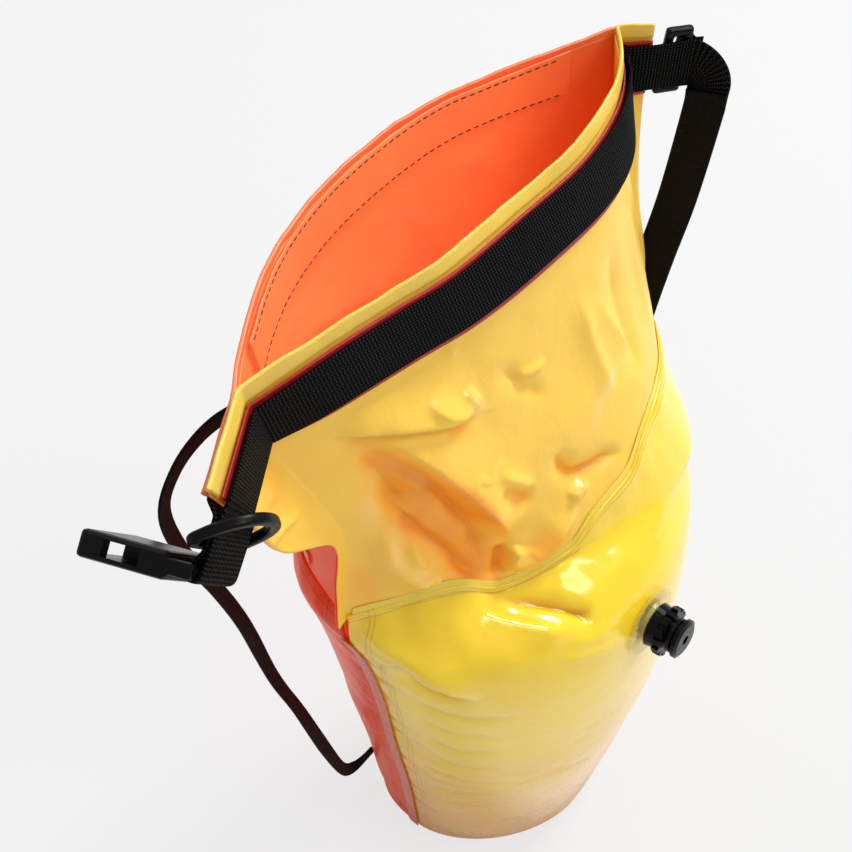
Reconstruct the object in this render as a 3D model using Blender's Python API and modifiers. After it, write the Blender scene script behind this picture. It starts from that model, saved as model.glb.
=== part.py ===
"""Roll-top dry-bag swim buoy, standing open with its two air chambers inflated.

Metres, +Z up. The mouth runs along X, the yellow front faces -Y, and the origin is the middle of
the base's underside. Run with: blender --background --python part.py
"""
import math

import bmesh
import bpy
import numpy as np
from mathutils import Matrix, Vector

# Fabric and webbing, in metres
FABRIC = 0.0008
GAP = 0.0004
EDGING_GAP = 0.0010
WEBBING_GAP = 0.0014
SEAM_HALF_GAP = 0.0009
WEBBING_WIDTH = 0.025
WEBBING_THICKNESS = 0.0016
EDGING_WIDTH = 0.029
EDGING_THICKNESS = 0.0007
HEM_HEIGHT = 0.0037
HEM_THICKNESS = 0.0022
BAND_TOP = 0.0060
BACK_HEM_HEIGHT = 0.024
STIFFENER_HEIGHT = 0.018
BASE_THICKNESS = 0.0015

# Tessellation of the fabric
EAR_STEPS = 2
MAIN_STEPS = 22
STEPS_PER_ROW = 2
DENSE = 12

# Side seam of the upper bag, from the rim down to the chambers' top weld. The mouth's flat ends,
# or ears, lie between a fold and a tip.
LEFT_TIP = [(-0.183, 0.010, 0.480), (-0.167, 0.014, 0.443), (-0.151, 0.018, 0.402),
            (-0.122, 0.020, 0.372), (-0.124, 0.019, 0.340), (-0.127, 0.017, 0.314)]
LEFT_FOLD = [(-0.146, 0.035, 0.478), (-0.137, 0.035, 0.442), (-0.122, 0.027, 0.399),
             (-0.114, 0.021, 0.366), (-0.118, 0.020, 0.336), (-0.121, 0.018, 0.314)]
RIGHT_FOLD = [(0.113, 0.053, 0.492), (0.114, 0.048, 0.448), (0.116, 0.038, 0.402),
              (0.1215, 0.025, 0.360), (0.1205, 0.021, 0.330), (0.117, 0.018, 0.308)]
RIGHT_TIP = [(0.123, 0.039, 0.494), (0.125, 0.040, 0.450), (0.127, 0.036, 0.402),
             (0.1265, 0.025, 0.360), (0.1245, 0.021, 0.330), (0.121, 0.018, 0.308)]

# Upper panels between the folds, row by row from the rim to the weld
FRONT_ROWS = [
    [(-0.108, 0.030, 0.480), (-0.076, 0.026, 0.480), (-0.047, 0.022, 0.480), (-0.005, 0.022, 0.481),
     (0.037, 0.022, 0.483), (0.072, 0.028, 0.487), (0.095, 0.038, 0.490)],
    [(-0.108, 0.024, 0.445), (-0.067, 0.016, 0.445), (-0.036, 0.010, 0.446), (0.000, 0.007, 0.447),
     (0.045, 0.008, 0.449), (0.070, 0.014, 0.451), (0.092, 0.027, 0.452)],
    [(-0.098, 0.014, 0.400), (-0.070, 0.004, 0.400), (-0.038, -0.004, 0.400), (0.000, -0.007, 0.400),
     (0.040, -0.006, 0.400), (0.075, 0.003, 0.400), (0.100, 0.018, 0.402)],
    [(-0.094, 0.004, 0.364), (-0.070, -0.006, 0.362), (-0.038, -0.016, 0.358), (0.000, -0.024, 0.358),
     (0.042, -0.024, 0.358), (0.076, -0.013, 0.358), (0.104, 0.006, 0.358)],
    [(-0.100, 0.003, 0.338), (-0.078, -0.009, 0.336), (-0.050, -0.020, 0.328), (-0.012, -0.034, 0.331),
     (0.035, -0.037, 0.331), (0.074, -0.027, 0.328), (0.104, -0.004, 0.328)],
    [(-0.106, 0.003, 0.320), (-0.081, -0.015, 0.322), (-0.057, -0.026, 0.306), (-0.018, -0.041, 0.309),
     (0.030, -0.046, 0.308), (0.072, -0.040, 0.303), (0.102, -0.015, 0.303)],
]
BACK_ROWS = [
    [(-0.123, 0.054, 0.479), (-0.087, 0.075, 0.480), (-0.048, 0.087, 0.481), (-0.006, 0.091, 0.482),
     (0.027, 0.088, 0.484), (0.050, 0.080, 0.486), (0.082, 0.067, 0.489)],
    [(-0.115, 0.057, 0.443), (-0.083, 0.075, 0.444), (-0.045, 0.086, 0.445), (-0.004, 0.090, 0.446),
     (0.032, 0.088, 0.447), (0.060, 0.080, 0.447), (0.092, 0.064, 0.448)],
    [(-0.110, 0.054, 0.400), (-0.082, 0.073, 0.400), (-0.045, 0.084, 0.400), (0.000, 0.087, 0.400),
     (0.040, 0.085, 0.400), (0.073, 0.075, 0.400), (0.102, 0.056, 0.401)],
    [(-0.105, 0.051, 0.362), (-0.080, 0.070, 0.362), (-0.045, 0.081, 0.362), (0.000, 0.084, 0.362),
     (0.043, 0.082, 0.362), (0.078, 0.071, 0.362), (0.108, 0.048, 0.360)],
    [(-0.108, 0.054, 0.335), (-0.080, 0.074, 0.336), (-0.045, 0.084, 0.337), (0.000, 0.087, 0.337),
     (0.043, 0.084, 0.336), (0.078, 0.072, 0.334), (0.108, 0.048, 0.332)],
    [(-0.108, 0.056, 0.318), (-0.082, 0.075, 0.321), (-0.045, 0.086, 0.323), (0.000, 0.089, 0.323),
     (0.043, 0.086, 0.321), (0.078, 0.072, 0.317), (0.107, 0.047, 0.312)],
]

# The inflated part, level by level from the top: height, seam x at the left and right, seam y,
# then how far each wall stands from the seam plane
LEVELS = [
    # z, left, right, seam y, front skin, front wall, back wall, back skin
    (0.295, -0.121, 0.116, 0.017, 0.080, 0.050, 0.062, 0.083),
    (0.270, -0.114, 0.112, 0.015, 0.092, 0.026, 0.046, 0.087),
    (0.220, -0.105, 0.106, 0.014, 0.094, 0.008, 0.034, 0.083),
    (0.150, -0.097, 0.098, 0.013, 0.091, 0.006, 0.031, 0.076),
    (0.090, -0.089, 0.090, 0.012, 0.082, 0.008, 0.032, 0.069),
    (0.040, -0.083, 0.084, 0.013, 0.077, 0.030, 0.040, 0.062),
    (0.0022, -0.079, 0.079, 0.014, 0.073, 0.062, 0.047, 0.054),
]
FRONT_SKIN, FRONT_WALL, BACK_WALL, BACK_SKIN = 4, 5, 6, 7
# How square each level's oval is, at its left and right halves
FRONT_SQUARENESS = [(2.1, 2.0), (2.2, 2.0), (2.3, 2.2), (2.3, 2.4), (2.2, 2.7), (2.0, 2.8), (1.7, 2.8)]
BACK_SQUARENESS = [(2.4, 2.4), (2.6, 2.6), (2.6, 2.6), (2.6, 2.6), (2.6, 2.6), (2.7, 2.7), (2.8, 2.8)]
WALL_SQUARENESS = [(2.0, 2.0)] * 6 + [(1.7, 2.6)]
SKIN_SEAM_GAP = 0.0017
WALL_SEAM_GAP = 0.0007
WALL_INSET = 0.0012
WELD_GAP = 0.0013
WELD_BLEND_STEPS = 3
SEAM_STRIP_WIDTH = 0.008
WELD_STRIP_WIDTH = 0.007

# Left end of the webbing, which loops round the buckle's bar
BAR_RADIUS = 0.002
LOOP_RADIUS = BAR_RADIUS + 0.0003 + WEBBING_THICKNESS / 2
LEFT_LOOP = Vector((-0.192, 0.001, 0.450))
LEFT_LOOP_ACROSS = Vector((0.41, 0.00, -0.91))
SOCKET_DIRECTION = Vector((-0.33, 0.93, -0.10))
RETURN_LENGTH = 0.014
TWIST_LENGTH = 0.005
PRESSED_LAYERS = WEBBING_THICKNESS + GAP

# Right end of the webbing, which turns down behind the top of the closure strap
RIGHT_TURN = Vector((0.1375, 0.0245, 0.462))
RIGHT_EDGE = Vector((0.30, -0.954, 0.0))
BEHIND_STRAP = Vector((0.954, 0.30, 0.0))
LAP_LENGTH = 0.011
KEEPER_WIDTH = 0.0245
KEEPER_THICKNESS = 0.0014
KEEPER_NEAR_GAP = 0.0006
KEEPER_FAR_GAP = 0.0012

# D-ring at the webbing's left end and narrow ring at its right end
RING_INSIDE_WIDTH = 0.0270
RING_INSIDE_DEPTH = 0.0185
RING_SECTION = 0.0042
RING_TILT = math.radians(38)
RING_SAG = 0.0014
RING_PLACE = 0.0150
RIGHT_RING_LENGTH = 0.0135
RIGHT_RING_FROM_FAN = 0.0035

# Side-release buckle
BUCKLE_WIDTH = 0.033
SOCKET_LENGTH = 0.044
SOCKET_THICKNESS = 0.0100
SLOT_LENGTH = 0.0062
SOCKET_BAR_RADIUS = 0.0018
PLUG_WIDTH = 0.0296
PLUG_ARM_LENGTH = 0.024

# Closure strap and tether tape
STRAP_WIDTH = 0.020
STRAP_THICKNESS = 0.0014
STRAP_ROUTE = [(0.1386, 0.0144, 0.4620), (0.1386, 0.0144, 0.4500), (0.1360, 0.0172, 0.4000),
               (0.1325, 0.0212, 0.3600), (0.1295, 0.0245, 0.3200), (0.1265, 0.0270, 0.2700),
               (0.1235, 0.0285, 0.2200), (0.1210, 0.0290, 0.1700)]
STRAP_STEPS = 22
TAPE_HALF_WIDTH = 0.0036
TAPE_HALF_THICKNESS = 0.0006
TAPE_ROUTE = [(-0.1205, 0.0562, 0.4336), (-0.1300, 0.0620, 0.4345), (-0.1450, 0.0640, 0.4325),
              (-0.1610, 0.0625, 0.4265),
              (-0.1715, 0.0605, 0.4120), (-0.1680, 0.0600, 0.3800), (-0.1570, 0.0600, 0.3400),
              (-0.1470, 0.0600, 0.2960), (-0.1365, 0.0600, 0.2300), (-0.1240, 0.0600, 0.1730),
              (-0.1080, 0.0610, 0.0950), (-0.0950, 0.0630, 0.0420), (-0.0840, 0.0650, 0.0215),
              (-0.0750, 0.0645, 0.0195), (-0.0650, 0.0628, 0.0240)]
TAPE_POINTS = 34
PATCH_THICKNESS = 0.0012
PATCH_RELIEF = 0.0004
TETHER_PATCH = (0.010, 0.012)
TETHER_TOP_COLUMN = 4
TETHER_TOP_HEIGHT = 0.434
TETHER_FOOT_COLUMN = 5
TETHER_FOOT_HEIGHT = 0.0250

# Inflation valves: places on the skins and sizes along the valve's own axis
VALVE_HEIGHT = 0.262
FRONT_VALVE_X = -0.001
BACK_VALVE_X = -0.020
FLANGE_RADIUS = 0.019
FLANGE_THICKNESS = 0.0009
BORE_RADIUS = 0.0045
HOLE_RADIUS = 0.0105
ROUND_STEPS = 28
TEETH = 14


def collection(name):
    """Make a collection in the scene."""
    group = bpy.data.collections.new(name)
    bpy.context.scene.collection.children.link(group)
    return group


def material(name, colour, roughness, metallic=0.0, alpha=1.0):
    """A Principled material with the part's colour, roughness and metallic value."""
    made = bpy.data.materials.new(name)
    made.use_nodes = True
    shader = made.node_tree.nodes["Principled BSDF"]
    shader.inputs["Base Color"].default_value = (*colour, 1.0)
    shader.inputs["Roughness"].default_value = roughness
    shader.inputs["Metallic"].default_value = metallic
    shader.inputs["Alpha"].default_value = alpha
    made.diffuse_color = (*colour, 1.0)
    return made


def unit(vector):
    """The vector at length one, as a numpy array."""
    vector = np.array(vector, float)
    return vector / np.linalg.norm(vector)


def curve_through(points, samples=DENSE):
    """Dense points on a Catmull-Rom curve through the given points."""
    points = np.array(points, float)
    before = 2 * points[0] - points[1]
    after = 2 * points[-1] - points[-2]
    line = np.vstack([before, points, after])
    places = []
    for i in range(1, len(line) - 2):
        a, b, c, d = line[i - 1:i + 3]
        for step in range(samples):
            t = step / samples
            places.append(0.5 * (2 * b + (c - a) * t + (2 * a - 5 * b + 4 * c - d) * t * t
                                 + (3 * b - a - 3 * c + d) * t ** 3))
    places.append(points[-1])
    return np.array(places)


def lengths_along(line):
    """Distance from the first point of a line to each of its points."""
    steps = np.linalg.norm(np.diff(line, axis=0), axis=1)
    return np.concatenate([[0.0], np.cumsum(steps)])


def at_distance(line, distance):
    """The point of a line at a distance from its start."""
    along = lengths_along(line)
    return np.array([np.interp(distance, along, line[:, axis]) for axis in range(3)])


def evenly(line, count):
    """Points spaced evenly along a line, its ends included."""
    total = lengths_along(line)[-1]
    return np.array([at_distance(line, total * i / (count - 1)) for i in range(count)])


def seam_normal(tip, fold, side):
    """Level direction square to an ear, towards the front; side is -1 at the left, 1 at the right."""
    reach = np.array(tip) - np.array(fold)
    return unit((side * reach[1], -side * reach[0], 0.0))


def panel_columns(rows, facing):
    """Columns of an upper panel from the left ear's tip to the right one's, each from rim to weld.

    facing is 1 for the front panel and -1 for the back one, whose seam is set off to its own side.
    """
    grid = []
    for i, row in enumerate(rows):
        left = facing * SEAM_HALF_GAP * seam_normal(LEFT_TIP[i], LEFT_FOLD[i], -1)
        right = facing * SEAM_HALF_GAP * seam_normal(RIGHT_TIP[i], RIGHT_FOLD[i], 1)
        left_tip = np.array(LEFT_TIP[i]) + left
        left_fold = np.array(LEFT_FOLD[i]) + left
        right_fold = np.array(RIGHT_FOLD[i]) + right
        right_tip = np.array(RIGHT_TIP[i]) + right
        main = evenly(curve_through([left_fold, *row, right_fold]), MAIN_STEPS + 1)
        ear = np.linspace(left_tip, left_fold, EAR_STEPS + 1)[:-1]
        grid.append(np.vstack([ear, main, [right_tip]]))
    grid = np.array(grid)
    return [curve_through(grid[:, j]) for j in range(grid.shape[1])]


def oval_half(level, depth, squareness, seam_gap, inset, facing):
    """Half an oval from the left seam to the right one; facing 1 is the front half."""
    z, left, right, seam_y = level[:4]
    left += inset
    right -= inset
    middle = (left + right) / 2
    reach = (right - left) / 2
    places = []
    for i in range(4 * MAIN_STEPS + 1):
        angle = math.pi * i / (4 * MAIN_STEPS)
        square = squareness[0] if i < 2 * MAIN_STEPS else squareness[1]
        across = math.copysign(abs(math.cos(angle)) ** (2 / square), -math.cos(angle))
        out = abs(math.sin(angle)) ** (2 / square)
        y = seam_y - facing * (seam_gap + (depth - seam_gap) * out)
        places.append((middle + reach * across, y, z))
    return evenly(np.array(places), MAIN_STEPS + 1)


def chamber_columns(weld_row, which, squareness, seam_gap, inset, facing):
    """Columns of a chamber's skin or inner wall, each from the top weld down to the base."""
    rows = [weld_row]
    for level, square in zip(LEVELS, squareness):
        rows.append(oval_half(level, level[which], square, seam_gap, inset, facing))
    rows = np.array(rows)
    return [curve_through(rows[:, j]) for j in range(rows.shape[1])]


def grid_object(name, grid, thickness, surface):
    """An open grid of points as a mesh, given its thickness by Solidify."""
    down, across = len(grid), len(grid[0])
    mesh = bpy.data.meshes.new(name)
    work = bmesh.new()
    verts = [[work.verts.new(Vector(point)) for point in row] for row in grid]
    for i in range(down - 1):
        for j in range(across - 1):
            work.faces.new((verts[i][j], verts[i + 1][j], verts[i + 1][j + 1], verts[i][j + 1]))
    bmesh.ops.recalc_face_normals(work, faces=work.faces)
    work.to_mesh(mesh)
    work.free()
    mesh.shade_smooth()
    made = bpy.data.objects.new(name, mesh)
    parts.objects.link(made)
    made.data.materials.append(surface)
    wall = made.modifiers.new("thickness", "SOLIDIFY")
    wall.thickness = thickness
    wall.offset = 0.0
    wall.use_even_offset = True
    return made


def column_frames(columns, distance, offset, facing, first=0, last=None, width=0.0):
    """Frames (centre, across, normal) on a panel at a distance below its rim.

    The normal points out of the bag, and the centre stands off the panel by offset along it,
    and further where the panel bulges into a flat strip of the given width.
    """
    side = math.copysign(1.0, offset)
    last = len(columns) - 1 if last is None else last
    centres = [at_distance(column, distance) for column in columns]
    frames = []
    for j in range(first, last + 1):
        down = unit(at_distance(columns[j], distance + 0.010) - at_distance(columns[j], distance - 0.010))
        before = unit(centres[j] - centres[j - 1]) if j > 0 else unit(centres[1] - centres[0])
        after = unit(centres[j + 1] - centres[j]) if j < len(columns) - 1 else before
        normal_before = facing * unit(np.cross(down, before))
        normal_after = facing * unit(np.cross(down, after))
        normal = unit(normal_before + normal_after)
        stretch = 1 / max(0.6, float(normal @ normal_after))
        spots = [at_distance(columns[j], distance + width * share) for share in (-0.5, -0.25, 0.25, 0.5)]
        bulge = max(0.0, max(side * float((spot - centres[j]) @ normal) for spot in spots))
        frames.append((centres[j] + normal * (offset + side * bulge) * stretch, down, normal))
    return frames


def ribbon(name, frames, width, thickness, surface):
    """A flat strip lofted through frames of centre, across vector and normal.

    An across vector shorter than one makes the strip narrower there.
    """
    mesh = bpy.data.meshes.new(name)
    work = bmesh.new()
    sections = []
    for centre, across, normal in frames:
        side = across * width / 2
        out = unit(normal) * thickness / 2
        corners = (centre + side + out, centre - side + out, centre - side - out, centre + side - out)
        sections.append([work.verts.new(Vector(corner)) for corner in corners])
    for a, b in zip(sections, sections[1:]):
        for k in range(4):
            work.faces.new((a[k], a[(k + 1) % 4], b[(k + 1) % 4], b[k]))
    work.faces.new(reversed(sections[0]))
    work.faces.new(sections[-1])
    bmesh.ops.recalc_face_normals(work, faces=work.faces)
    work.to_mesh(mesh)
    work.free()
    made = bpy.data.objects.new(name, mesh)
    parts.objects.link(made)
    made.data.materials.append(surface)
    return made


def axes_matrix(origin, x_axis, y_axis):
    """World matrix with the given origin, x axis and, as near as may be, y axis."""
    x_axis = Vector(x_axis).normalized()
    z_axis = x_axis.cross(Vector(y_axis)).normalized()
    y_axis = z_axis.cross(x_axis)
    turn = Matrix((x_axis, y_axis, z_axis)).transposed()
    return Matrix.Translation(Vector(origin)) @ turn.to_4x4()


def box(name, low, high, group, bevel=0.0):
    """A box between two corners, its edges rounded by bevel."""
    mesh = bpy.data.meshes.new(name)
    work = bmesh.new()
    bmesh.ops.create_cube(work, size=1.0)
    for vert in work.verts:
        for axis in range(3):
            vert.co[axis] = low[axis] if vert.co[axis] < 0 else high[axis]
    if bevel:
        bmesh.ops.bevel(work, geom=work.edges[:], offset=bevel, segments=2, profile=0.5, affect="EDGES")
    work.to_mesh(mesh)
    work.free()
    made = bpy.data.objects.new(name, mesh)
    group.objects.link(made)
    return made


def rod(name, radius, length, group, sides=16):
    """A round bar along Y through the origin."""
    mesh = bpy.data.meshes.new(name)
    work = bmesh.new()
    lay = Matrix.Rotation(math.radians(90), 4, "X")
    bmesh.ops.create_cone(work, cap_ends=True, segments=sides, radius1=radius, radius2=radius,
                          depth=length, matrix=lay)
    work.to_mesh(mesh)
    work.free()
    made = bpy.data.objects.new(name, mesh)
    group.objects.link(made)
    return made


def guide(thing):
    """Mark an object as a cutter or a joined piece that isn't a part itself."""
    thing.hide_render = True
    thing.display_type = "WIRE"
    return thing


def combine(target, thing, operation):
    """Add a Boolean modifier; the other object is kept as a guide in the target's space."""
    guide(thing)
    thing.parent = target
    step = target.modifiers.new(thing.name, "BOOLEAN")
    step.operation = operation
    step.object = thing
    step.solver = "EXACT"


def outline_object(name, outlines, thickness, group):
    """A flat outline with any holes, filled and extruded to a thickness, as a mesh."""
    curve = bpy.data.curves.new(name, "CURVE")
    curve.dimensions = "2D"
    curve.fill_mode = "BOTH"
    curve.extrude = thickness / 2
    for outline in outlines:
        spline = curve.splines.new("POLY")
        spline.points.add(len(outline) - 1)
        for point, (x, y) in zip(spline.points, outline):
            point.co = (x, y, 0.0, 1.0)
        spline.use_cyclic_u = True
    drawn = bpy.data.objects.new(name + "_outline", curve)
    bpy.context.scene.collection.objects.link(drawn)
    view = bpy.context.evaluated_depsgraph_get()
    mesh = bpy.data.meshes.new_from_object(drawn.evaluated_get(view))
    work = bmesh.new()
    work.from_mesh(mesh)
    bmesh.ops.remove_doubles(work, verts=work.verts, dist=0.00001)
    bmesh.ops.recalc_face_normals(work, faces=work.faces)
    work.to_mesh(mesh)
    work.free()
    mesh.name = name
    made = bpy.data.objects.new(name, mesh)
    made.matrix_world = drawn.matrix_world
    group.objects.link(made)
    bpy.data.objects.remove(drawn)
    return made


def d_outline(width, depth, corner_steps=10):
    """A letter D lying on its flat side: the bar along x at y = 0, the bow towards +y."""
    half = width / 2
    straight = depth - half
    points = [(-half, 0.0), (half, 0.0)]
    for i in range(corner_steps + 1):
        angle = math.pi * i / corner_steps
        points.append((half * math.cos(angle), straight + half * math.sin(angle)))
    return points


def turned(name, profile, steps, surface):
    """A turned shape: a profile of (radius, height) points, top to bottom on its outer side."""
    mesh = bpy.data.meshes.new(name)
    work = bmesh.new()
    verts = [work.verts.new((radius, 0.0, height)) for radius, height in profile]
    for a, b in zip(verts, verts[1:] + verts[:1]):
        work.edges.new((a, b))
    work.to_mesh(mesh)
    work.free()
    made = bpy.data.objects.new(name, mesh)
    parts.objects.link(made)
    made.data.materials.append(surface)
    spin = made.modifiers.new("turn", "SCREW")
    spin.steps = steps
    spin.render_steps = steps
    spin.use_merge_vertices = True
    spin.merge_threshold = 0.00001
    spin.use_smooth_shade = False
    return made


def make_upper_panels():
    """The two roll-top panels, each with its layer of both ears; returns their columns."""
    made = []
    for name, rows, facing, surface in (("front_upper_panel", FRONT_ROWS, 1, matte_yellow),
                                        ("back_upper_panel", BACK_ROWS, -1, orange)):
        columns = panel_columns(rows, facing)
        steps = STEPS_PER_ROW * (len(rows) - 1)
        trimmed = []
        for column in columns:
            total = lengths_along(column)[-1]
            trimmed.append([at_distance(column, HEM_HEIGHT + GAP + (total - HEM_HEIGHT - GAP) * i / steps)
                            for i in range(steps + 1)])
        grid_object(name, np.array(trimmed).transpose(1, 0, 2), FABRIC, surface)
        made.append(columns)
    return made


def weld_row(columns, facing, inner):
    """The bottom of an upper panel between its folds, set off to one side of the panel.

    A skin's row stands outside the panel and an inner wall's row inside it. At the side seams,
    where all the layers meet, a skin goes further to its own side and a wall further in.
    """
    row = np.array([column[-1] for column in columns[EAR_STEPS:EAR_STEPS + MAIN_STEPS + 1]])
    moved = []
    for j, place in enumerate(row):
        along = row[min(j + 1, MAIN_STEPS)] - row[max(j - 1, 0)]
        out = facing * unit((along[1], -along[0], 0.0))
        end = min(j, MAIN_STEPS - j)
        share = min(1.0, end / WELD_BLEND_STEPS)
        towards_middle = 1.0 if j < MAIN_STEPS / 2 else -1.0
        if inner:
            at_end = np.array((towards_middle * WALL_INSET, 0.0, 0.0))
            step = at_end * (1 - share) - out * WELD_GAP * share
        else:
            at_end = np.array((0.0, -facing * WELD_GAP, 0.0))
            step = at_end * (1 - share) + out * WELD_GAP * share
        moved.append(place + step - np.array((0.0, 0.0, WELD_GAP)))
    return np.array(moved)


def make_chambers(front, back):
    """Outer skins and inner walls of the two air chambers; returns the skins' columns."""
    jobs = (
        ("front_chamber_skin", weld_row(front, 1, False), FRONT_SKIN, FRONT_SQUARENESS,
         SKIN_SEAM_GAP, 0.0, 1, glossy_yellow),
        ("front_inner_wall", weld_row(front, 1, True), FRONT_WALL, WALL_SQUARENESS,
         WALL_SEAM_GAP, WALL_INSET, 1, glossy_yellow),
        ("back_inner_wall", weld_row(back, -1, True), BACK_WALL, WALL_SQUARENESS,
         WALL_SEAM_GAP, WALL_INSET, -1, orange),
        ("back_chamber_skin", weld_row(back, -1, False), BACK_SKIN, BACK_SQUARENESS,
         SKIN_SEAM_GAP, 0.0, -1, red_orange),
    )
    skins = {}
    for name, top, which, squareness, seam_gap, inset, facing, surface in jobs:
        columns = chamber_columns(top, which, squareness, seam_gap, inset, facing)
        every = DENSE // STEPS_PER_ROW
        grid = np.array([column[::every] for column in columns]).transpose(1, 0, 2)
        skins[name] = (grid_object(name, grid, FABRIC, surface), columns)
    return skins


def make_base():
    """The oval base panel that everything stands on."""
    level = LEVELS[-1]
    front = oval_half(level, level[FRONT_SKIN], FRONT_SQUARENESS[-1], 0.0, 0.0, 1)
    back = oval_half(level, level[BACK_SKIN], BACK_SQUARENESS[-1], 0.0, 0.0, -1)
    outline = [(x, y) for x, y, z in front] + [(x, y) for x, y, z in back[::-1][1:-1]]
    base = outline_object("base_panel", [outline], BASE_THICKNESS, parts)
    base.location.z = BASE_THICKNESS / 2
    base.data.materials.append(orange)


def make_seam_strips():
    """Welded strips that cover the side seams of the chambers."""
    for name, column, side in (("left_seam_strip", 1, -1), ("right_seam_strip", 2, 1)):
        line = curve_through([(level[column] + side * (FABRIC / 2 + GAP + 0.0006), level[3], level[0])
                              for level in LEVELS])
        across = np.array((0.0, 1.0, 0.0))
        frames = [(point, across, (side, 0.0, 0.0)) for point in evenly(line, 15)]
        ribbon(name, frames, SEAM_STRIP_WIDTH, FABRIC, salmon)


def make_weld_strips(front, back):
    """Strips along the top weld of each chamber, on the upper panel just above the weld."""
    for name, columns, facing, surface in (("front_weld_strip", front, 1, glossy_yellow),
                                           ("back_weld_strip", back, -1, red_orange)):
        frames = []
        for j in range(EAR_STEPS + 2, EAR_STEPS + MAIN_STEPS - 2):
            column = columns[j]
            total = lengths_along(column)[-1]
            place = total - 0.0045 - WELD_STRIP_WIDTH / 2
            down = unit(at_distance(column, place + 0.003) - at_distance(column, place - 0.003))
            along = unit(at_distance(columns[j + 1], place) - at_distance(columns[j - 1], place))
            normal = facing * unit(np.cross(down, along))
            centre = at_distance(column, place) + normal * (FABRIC + 3 * GAP)
            frames.append((centre, down, normal))
        ribbon(name, frames, WELD_STRIP_WIDTH, FABRIC, surface)


def make_rim(front, back):
    """Rolled hems, the back hem's inner layer with its stiffener, and the red edging tape."""
    last = EAR_STEPS + MAIN_STEPS + 1
    frames = column_frames(front, 0.010, 0.0, 1)
    top = [(at_distance(front[j], 0.0) + (frames[j][1] * HEM_HEIGHT / 2), frames[j][1],
            frames[j][2]) for j in range(last + 1)]
    shifted = [(centre + normal * (HEM_THICKNESS - FABRIC) / 2, down, normal)
               for centre, down, normal in top]
    ribbon("front_rim_hem", shifted, HEM_HEIGHT, HEM_THICKNESS, matte_yellow)
    frames = column_frames(back, 0.010, 0.0, -1)
    top = [(at_distance(back[j], 0.0) + (frames[j][1] * HEM_HEIGHT / 2), frames[j][1],
            frames[j][2]) for j in range(last + 1)]
    shifted = [(centre + normal * (HEM_THICKNESS - FABRIC) / 2, down, normal)
               for centre, down, normal in top]
    ribbon("back_rim_hem", shifted, HEM_HEIGHT, HEM_THICKNESS, orange)
    first_inner = EAR_STEPS + 2
    last_inner = EAR_STEPS + MAIN_STEPS - 2
    inward = -(FABRIC + GAP)
    middle = HEM_HEIGHT + GAP + 0.001 + STIFFENER_HEIGHT / 2
    strip = column_frames(back, middle, inward, -1, first_inner, last_inner, BACK_HEM_HEIGHT)
    ribbon("back_stiffener_strip", strip, STIFFENER_HEIGHT, FABRIC, strip_white)
    middle = 0.0005 + BACK_HEM_HEIGHT / 2
    strip = column_frames(back, middle, 2 * inward, -1, first_inner, last_inner, BACK_HEM_HEIGHT)
    ribbon("back_hem_lining", strip, BACK_HEM_HEIGHT, FABRIC, orange)
    offset = FABRIC / 2 + EDGING_GAP + EDGING_THICKNESS / 2
    band = column_frames(front, BAND_TOP + WEBBING_WIDTH / 2, offset, 1, width=EDGING_WIDTH)
    ribbon("red_edging_tape", band, EDGING_WIDTH, EDGING_THICKNESS, edging_red)


def left_loop_axes(centre):
    """Directions of the webbing's free left end: along it, across it and out of its front face."""
    along = unit(np.array(LEFT_LOOP) - centre)
    across = np.array(LEFT_LOOP_ACROSS)
    across = unit(across - along * (across @ along))
    return along, across, unit(np.cross(along, across))


def bar_loop(bar, along, across, out):
    """Frames of a strap that comes along, turns back round a bar and leaves on its other side."""
    frames = []
    for i in range(9):
        angle = math.pi * i / 8
        ring = out * math.cos(angle) + along * math.sin(angle)
        frames.append((bar + ring * LOOP_RADIUS, across, ring))
    return frames


def make_webbing(front):
    """The mouth webbing with its loop at the left and its turned-down end at the right.

    Returns the places that the rings and the buckle's socket hang on.
    """
    offset = FABRIC / 2 + EDGING_GAP + EDGING_THICKNESS + WEBBING_GAP + WEBBING_THICKNESS / 2
    band = column_frames(front, BAND_TOP + WEBBING_WIDTH / 2, offset, 1, width=EDGING_WIDTH)
    centre, down, normal = band[0]
    along, across, out = left_loop_axes(centre)
    bar = np.array(LEFT_LOOP) - out * LOOP_RADIUS
    loop = bar_loop(bar, along, across, out)
    ear = unit(band[0][0] - band[1][0])
    under = centre - unit(normal) * (2 * LOOP_RADIUS + WEBBING_GAP)
    start = centre + along * TWIST_LENGTH
    pressed = centre + along * RING_PLACE - out * PRESSED_LAYERS
    back_layer = [(pressed + along * RING_SECTION / 2, across, -out), (start - out * PRESSED_LAYERS, across, -out),
                  (under, down, -normal), (under - ear * RETURN_LENGTH, down, -normal)]
    approach = [(start, across, out)]
    left = approach + loop + back_layer

    right_centre, _, right_normal = band[-1]
    edge = unit(RIGHT_EDGE)
    behind = unit(BEHIND_STRAP)
    pivot = np.array(RIGHT_TURN)
    fan = []
    for i in range(7):
        share = i / 6
        angle = math.radians(90) * share
        arm = edge * math.sin(angle) + np.array((0.0, 0.0, 1.0)) * math.cos(angle)
        wide = WEBBING_WIDTH * (1 - share) + STRAP_WIDTH * share
        fan.append((pivot + arm * wide / 2, -arm * wide / WEBBING_WIDTH, -behind))
    end_centre, end_across, end_normal = fan[-1]
    lap = (end_centre - np.array((0.0, 0.0, LAP_LENGTH)), end_across, end_normal)
    frames = left[::-1] + band + fan + [lap]
    ribbon("mouth_webbing", frames, WEBBING_WIDTH, WEBBING_THICKNESS, webbing_black)
    return {
        "left_ring": (centre + along * RING_PLACE, along, across, out),
        "left_across": across, "left_bar": bar,
        "right_centre": right_centre, "right_normal": right_normal, "fan_start": fan[0][0],
    }


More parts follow.
